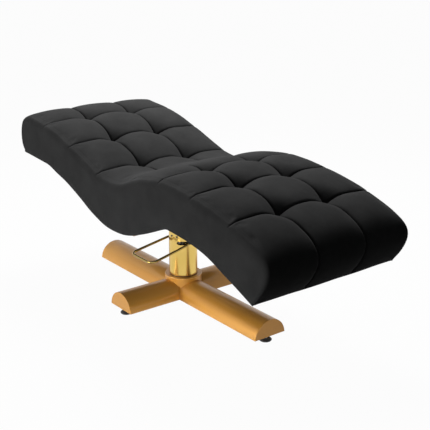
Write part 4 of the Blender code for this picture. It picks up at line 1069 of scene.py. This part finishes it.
def build_dust_cloth():
    """The black cloth stapled under the bed, open where the two beams come through."""
    low, high = np.array(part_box("dust_cover"))
    half = high[1]
    opening = (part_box("mount_beam_head")[0][0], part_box("mount_beam_foot")[1][0])
    beam_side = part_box("mount_beam_head")[1][1]
    stations = finer(layer_stations("dust_cover", half), CLOTH_STEP)
    ribs = [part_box(name) for name in NODE_SLOT if name.startswith("rib_")]
    rib_places = [(rib_low[0] + rib_high[0]) / 2 for rib_low, rib_high in ribs]
    held = np.array([*opening, low[0], high[0], *rib_places])
    places = np.unique(np.concatenate([stations[:, 0], opening]))
    even = np.linspace(-half, half, CLOTH_COLUMNS + 1)
    columns = np.unique(np.concatenate([even, [-beam_side, beam_side]]))
    bm = bmesh.new()
    grid = []
    for x in places:
        base = np.interp(x, stations[:, 0], stations[:, 1]) + CLOTH_LIFT
        slack = math.sin(min(1.0, np.abs(held - x).min() / CLOTH_SAG_LENGTH) * math.pi / 2)
        row = []
        for y in columns:
            drop, ripple = 0.0, CLOTH_RIPPLE
            if abs(y) < half:
                drop = CLOTH_SAG * slack * math.cos(math.pi / 2 * y / half) ** 0.5
            for lengthwise, crosswise in CLOTH_WAVES:
                ripple *= math.sin(lengthwise * x + crosswise * y)
            row.append(bm.verts.new((x, y, base - drop + ripple)))
        grid.append(row)
    for index in range(len(places) - 1):
        middle_x = (places[index] + places[index + 1]) / 2
        for side in range(len(columns) - 1):
            middle_y = (columns[side] + columns[side + 1]) / 2
            if opening[0] < middle_x < opening[1] and abs(middle_y) < beam_side + TUB_TOLERANCE:
                continue
            near, far = grid[index][side:side + 2], grid[index + 1][side:side + 2]
            bm.faces.new((*near, *reversed(far)))
    loose = [vertex for vertex in bm.verts if not vertex.link_faces]
    bmesh.ops.delete(bm, geom=loose, context="VERTS")
    area = sum(face.calc_area() for face in bm.faces)
    bmesh.ops.recalc_face_normals(bm, faces=bm.faces)
    bmesh.ops.solidify(bm, geom=bm.faces[:], thickness=-CLOTH_THICKNESS)
    made = mesh_object("dust_cloth", [], [], MATERIALS["dust_cloth"], "bed")
    write_back(bm, made.data)
    made.data.set_sharp_from_angle(angle=SHARP_ANGLE)
    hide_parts("dust_cover")
    staples = build_staples(stations, half)


def build_staples(stations, half):
    """Wire staples that hold the dust cloth's edges."""
    line = stations[:, :2]
    lengths = travelled(line)
    points, faces = [], []

    def staple(middle, along, across, up):
        """Adds one staple."""
        faces.extend(ring_faces(len(STAPLE_PATH), len(STAPLE_SECTION), start=len(points)))
        for share, lift in STAPLE_PATH:
            centre = middle + along * share * STAPLE_LENGTH + up * lift * STAPLE_HEIGHT
            for wide, tall in STAPLE_SECTION:
                points.append(centre + across * wide * STAPLE_WIDTH + up * tall * STAPLE_HEIGHT)

    lift = CLOTH_LIFT - CLOTH_THICKNESS - STAPLE_HEIGHT * STAPLE_SINK
    marks = np.arange(STAPLE_PITCH, lengths[-1] - STAPLE_PITCH / 2, STAPLE_PITCH)
    for mark in marks:
        three = np.array([mark - STAPLE_REACH, mark, mark + STAPLE_REACH])
        place = at_length(line, lengths, three)
        along = np.array([place[2, 0] - place[0, 0], 0.0, place[2, 1] - place[0, 1]])
        along /= np.linalg.norm(along)
        rise = np.cross(along, ACROSS)
        rise = rise if rise[2] > 0 else -rise
        for side in (-1, 1):
            middle = np.array([place[1, 0], side * (half - STAPLE_INSET), place[1, 1]])
            staple(middle + rise * lift, along, ACROSS, rise)
    for mark in (STAPLE_INSET, lengths[-1] - STAPLE_INSET):
        x, z = at_length(line, lengths, np.array([mark]))[0]
        for y in np.arange(-half + STAPLE_PITCH, half - STAPLE_PITCH / 2, STAPLE_PITCH):
            staple(np.array([x, y, z + lift]), ACROSS, LENGTHWISE, UPWARD)
    wire = surface("staple_wire", STAPLE_COLOUR, 0.45, 0.6)
    return mesh_object("dust_cloth_staples", points, faces, wire, "bed")


def build_spring():
    """The plunger's coil spring, coiled to fill the CAD spring's box."""
    low, high = np.array(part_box("plunger_spring"))
    middle = (low + high) / 2
    radius = (high[0] - low[0]) / 2 - SPRING_WIRE
    turn = np.linspace(0.0, SPRING_TURNS, SPRING_TURNS * SPRING_STEPS + 1)
    climb = np.clip((turn - SPRING_CLOSED) / (SPRING_TURNS - 2 * SPRING_CLOSED), 0, 1)
    closed_turns = np.minimum(turn, SPRING_CLOSED)
    closed_turns = closed_turns + np.maximum(0, turn - SPRING_TURNS + SPRING_CLOSED)
    travel = high[2] - low[2] - 2 * SPRING_WIRE - 2 * SPRING_CLOSED_PITCH * SPRING_CLOSED
    angle = 2 * math.pi * turn
    line = np.column_stack([
        middle[0] + radius * np.cos(angle),
        middle[1] + radius * np.sin(angle),
        low[2] + SPRING_WIRE + SPRING_CLOSED_PITCH * closed_turns + climb * travel,
    ])
    points, faces = tube(line, SPRING_WIRE, SPRING_SIDES)
    made = bodiless_object("coiled_spring", points, faces, MATERIALS["steel"])
    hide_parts("plunger_spring")
    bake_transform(made)


def place_camera():
    """The camera at the photograph's viewing angle."""
    data = bpy.data.cameras.new("camera")
    data.sensor_width = SENSOR
    data.lens = LENS
    camera = placed("camera", data)
    camera.location = CAMERA_PLACE
    camera.rotation_euler = (math.pi / 2 - CAMERA_ELEVATION, 0, CAMERA_AZIMUTH)
    SCENE.camera = camera


def area_light(name, place, target, size, power):
    """A soft rectangular lamp that faces a target."""
    data = bpy.data.lights.new(name, "AREA")
    data.shape = "RECTANGLE"
    data.size, data.size_y = size
    data.energy = power
    lamp = placed(name, data)
    lamp.location = place
    direction = Vector(target) - Vector(place)
    lamp.rotation_euler = direction.to_track_quat("-Z", "Y").to_euler()
    return lamp


def build_floor():
    """A floor that looks white and keeps the shadow."""
    corners = [(x * FLOOR_REACH, y * FLOOR_REACH, 0) for x, y in FLOOR_CORNERS]
    mesh = bpy.data.meshes.new("floor")
    mesh.from_pydata(corners, [], [(0, 1, 2, 3)])
    floor = placed("floor", mesh)
    made = surface("floor", (FLOOR_TONE,) * 3, FLOOR_ROUGHNESS)
    wiring = Wiring(made)
    kinds, seen = wiring.rays()
    tone = wiring.spread(kinds["Is Diffuse Ray"], FLOOR_TONE, FLOOR_BOUNCE)
    wiring.feed(Base_Color=tone, Specular_IOR_Level=FLOOR_SPECULAR)
    share = wiring.arithmetic("MULTIPLY", seen, FLOOR_GLOW)
    glow = wiring.node("Emission").outputs["Emission"]
    mixed = wiring.mixed(share, wiring.shader.outputs["BSDF"], glow)
    wiring.link(mixed, wiring.tree.nodes["Material Output"].inputs["Surface"])
    mesh.materials.append(made)


def build_world():
    """White where it is seen, mirrored or looked through, and dim as light."""
    world = bpy.data.worlds.new("studio")
    SCENE.world = world
    world.use_nodes = True
    world.node_tree.nodes.clear()
    wiring = Wiring(world)
    kinds, seen = wiring.rays()
    through = wiring.arithmetic("MAXIMUM", seen, kinds["Is Transmission Ray"])
    dim = wiring.node("Background", Color=WORLD_TINT, Strength=WORLD_DIM)
    white = wiring.node("Background", Color=WHITE, Strength=1.0)
    mixed = wiring.mixed(through, dim.outputs["Background"], white.outputs["Background"])
    wiring.link(mixed, wiring.node("OutputWorld").inputs["Surface"])


def build_studio():
    """Floor, world and lamps."""
    build_floor()
    build_world()
    for name, facts in LAMPS.items():
        lamp = area_light(name, **facts)
        if name == "fill":
            lamp.visible_glossy = False
            lamp.data.spread = FILL_SPREAD
    SCENE.view_settings.view_transform = "Standard"


place_camera()
build_studio()
dress_nodes()
for node_name, edge_width in EASED_NODES.items():
    build_hard_piece(node_name, edge_width)
build_rod()
build_velvet()
build_foam()
build_dust_cloth()
build_spring()
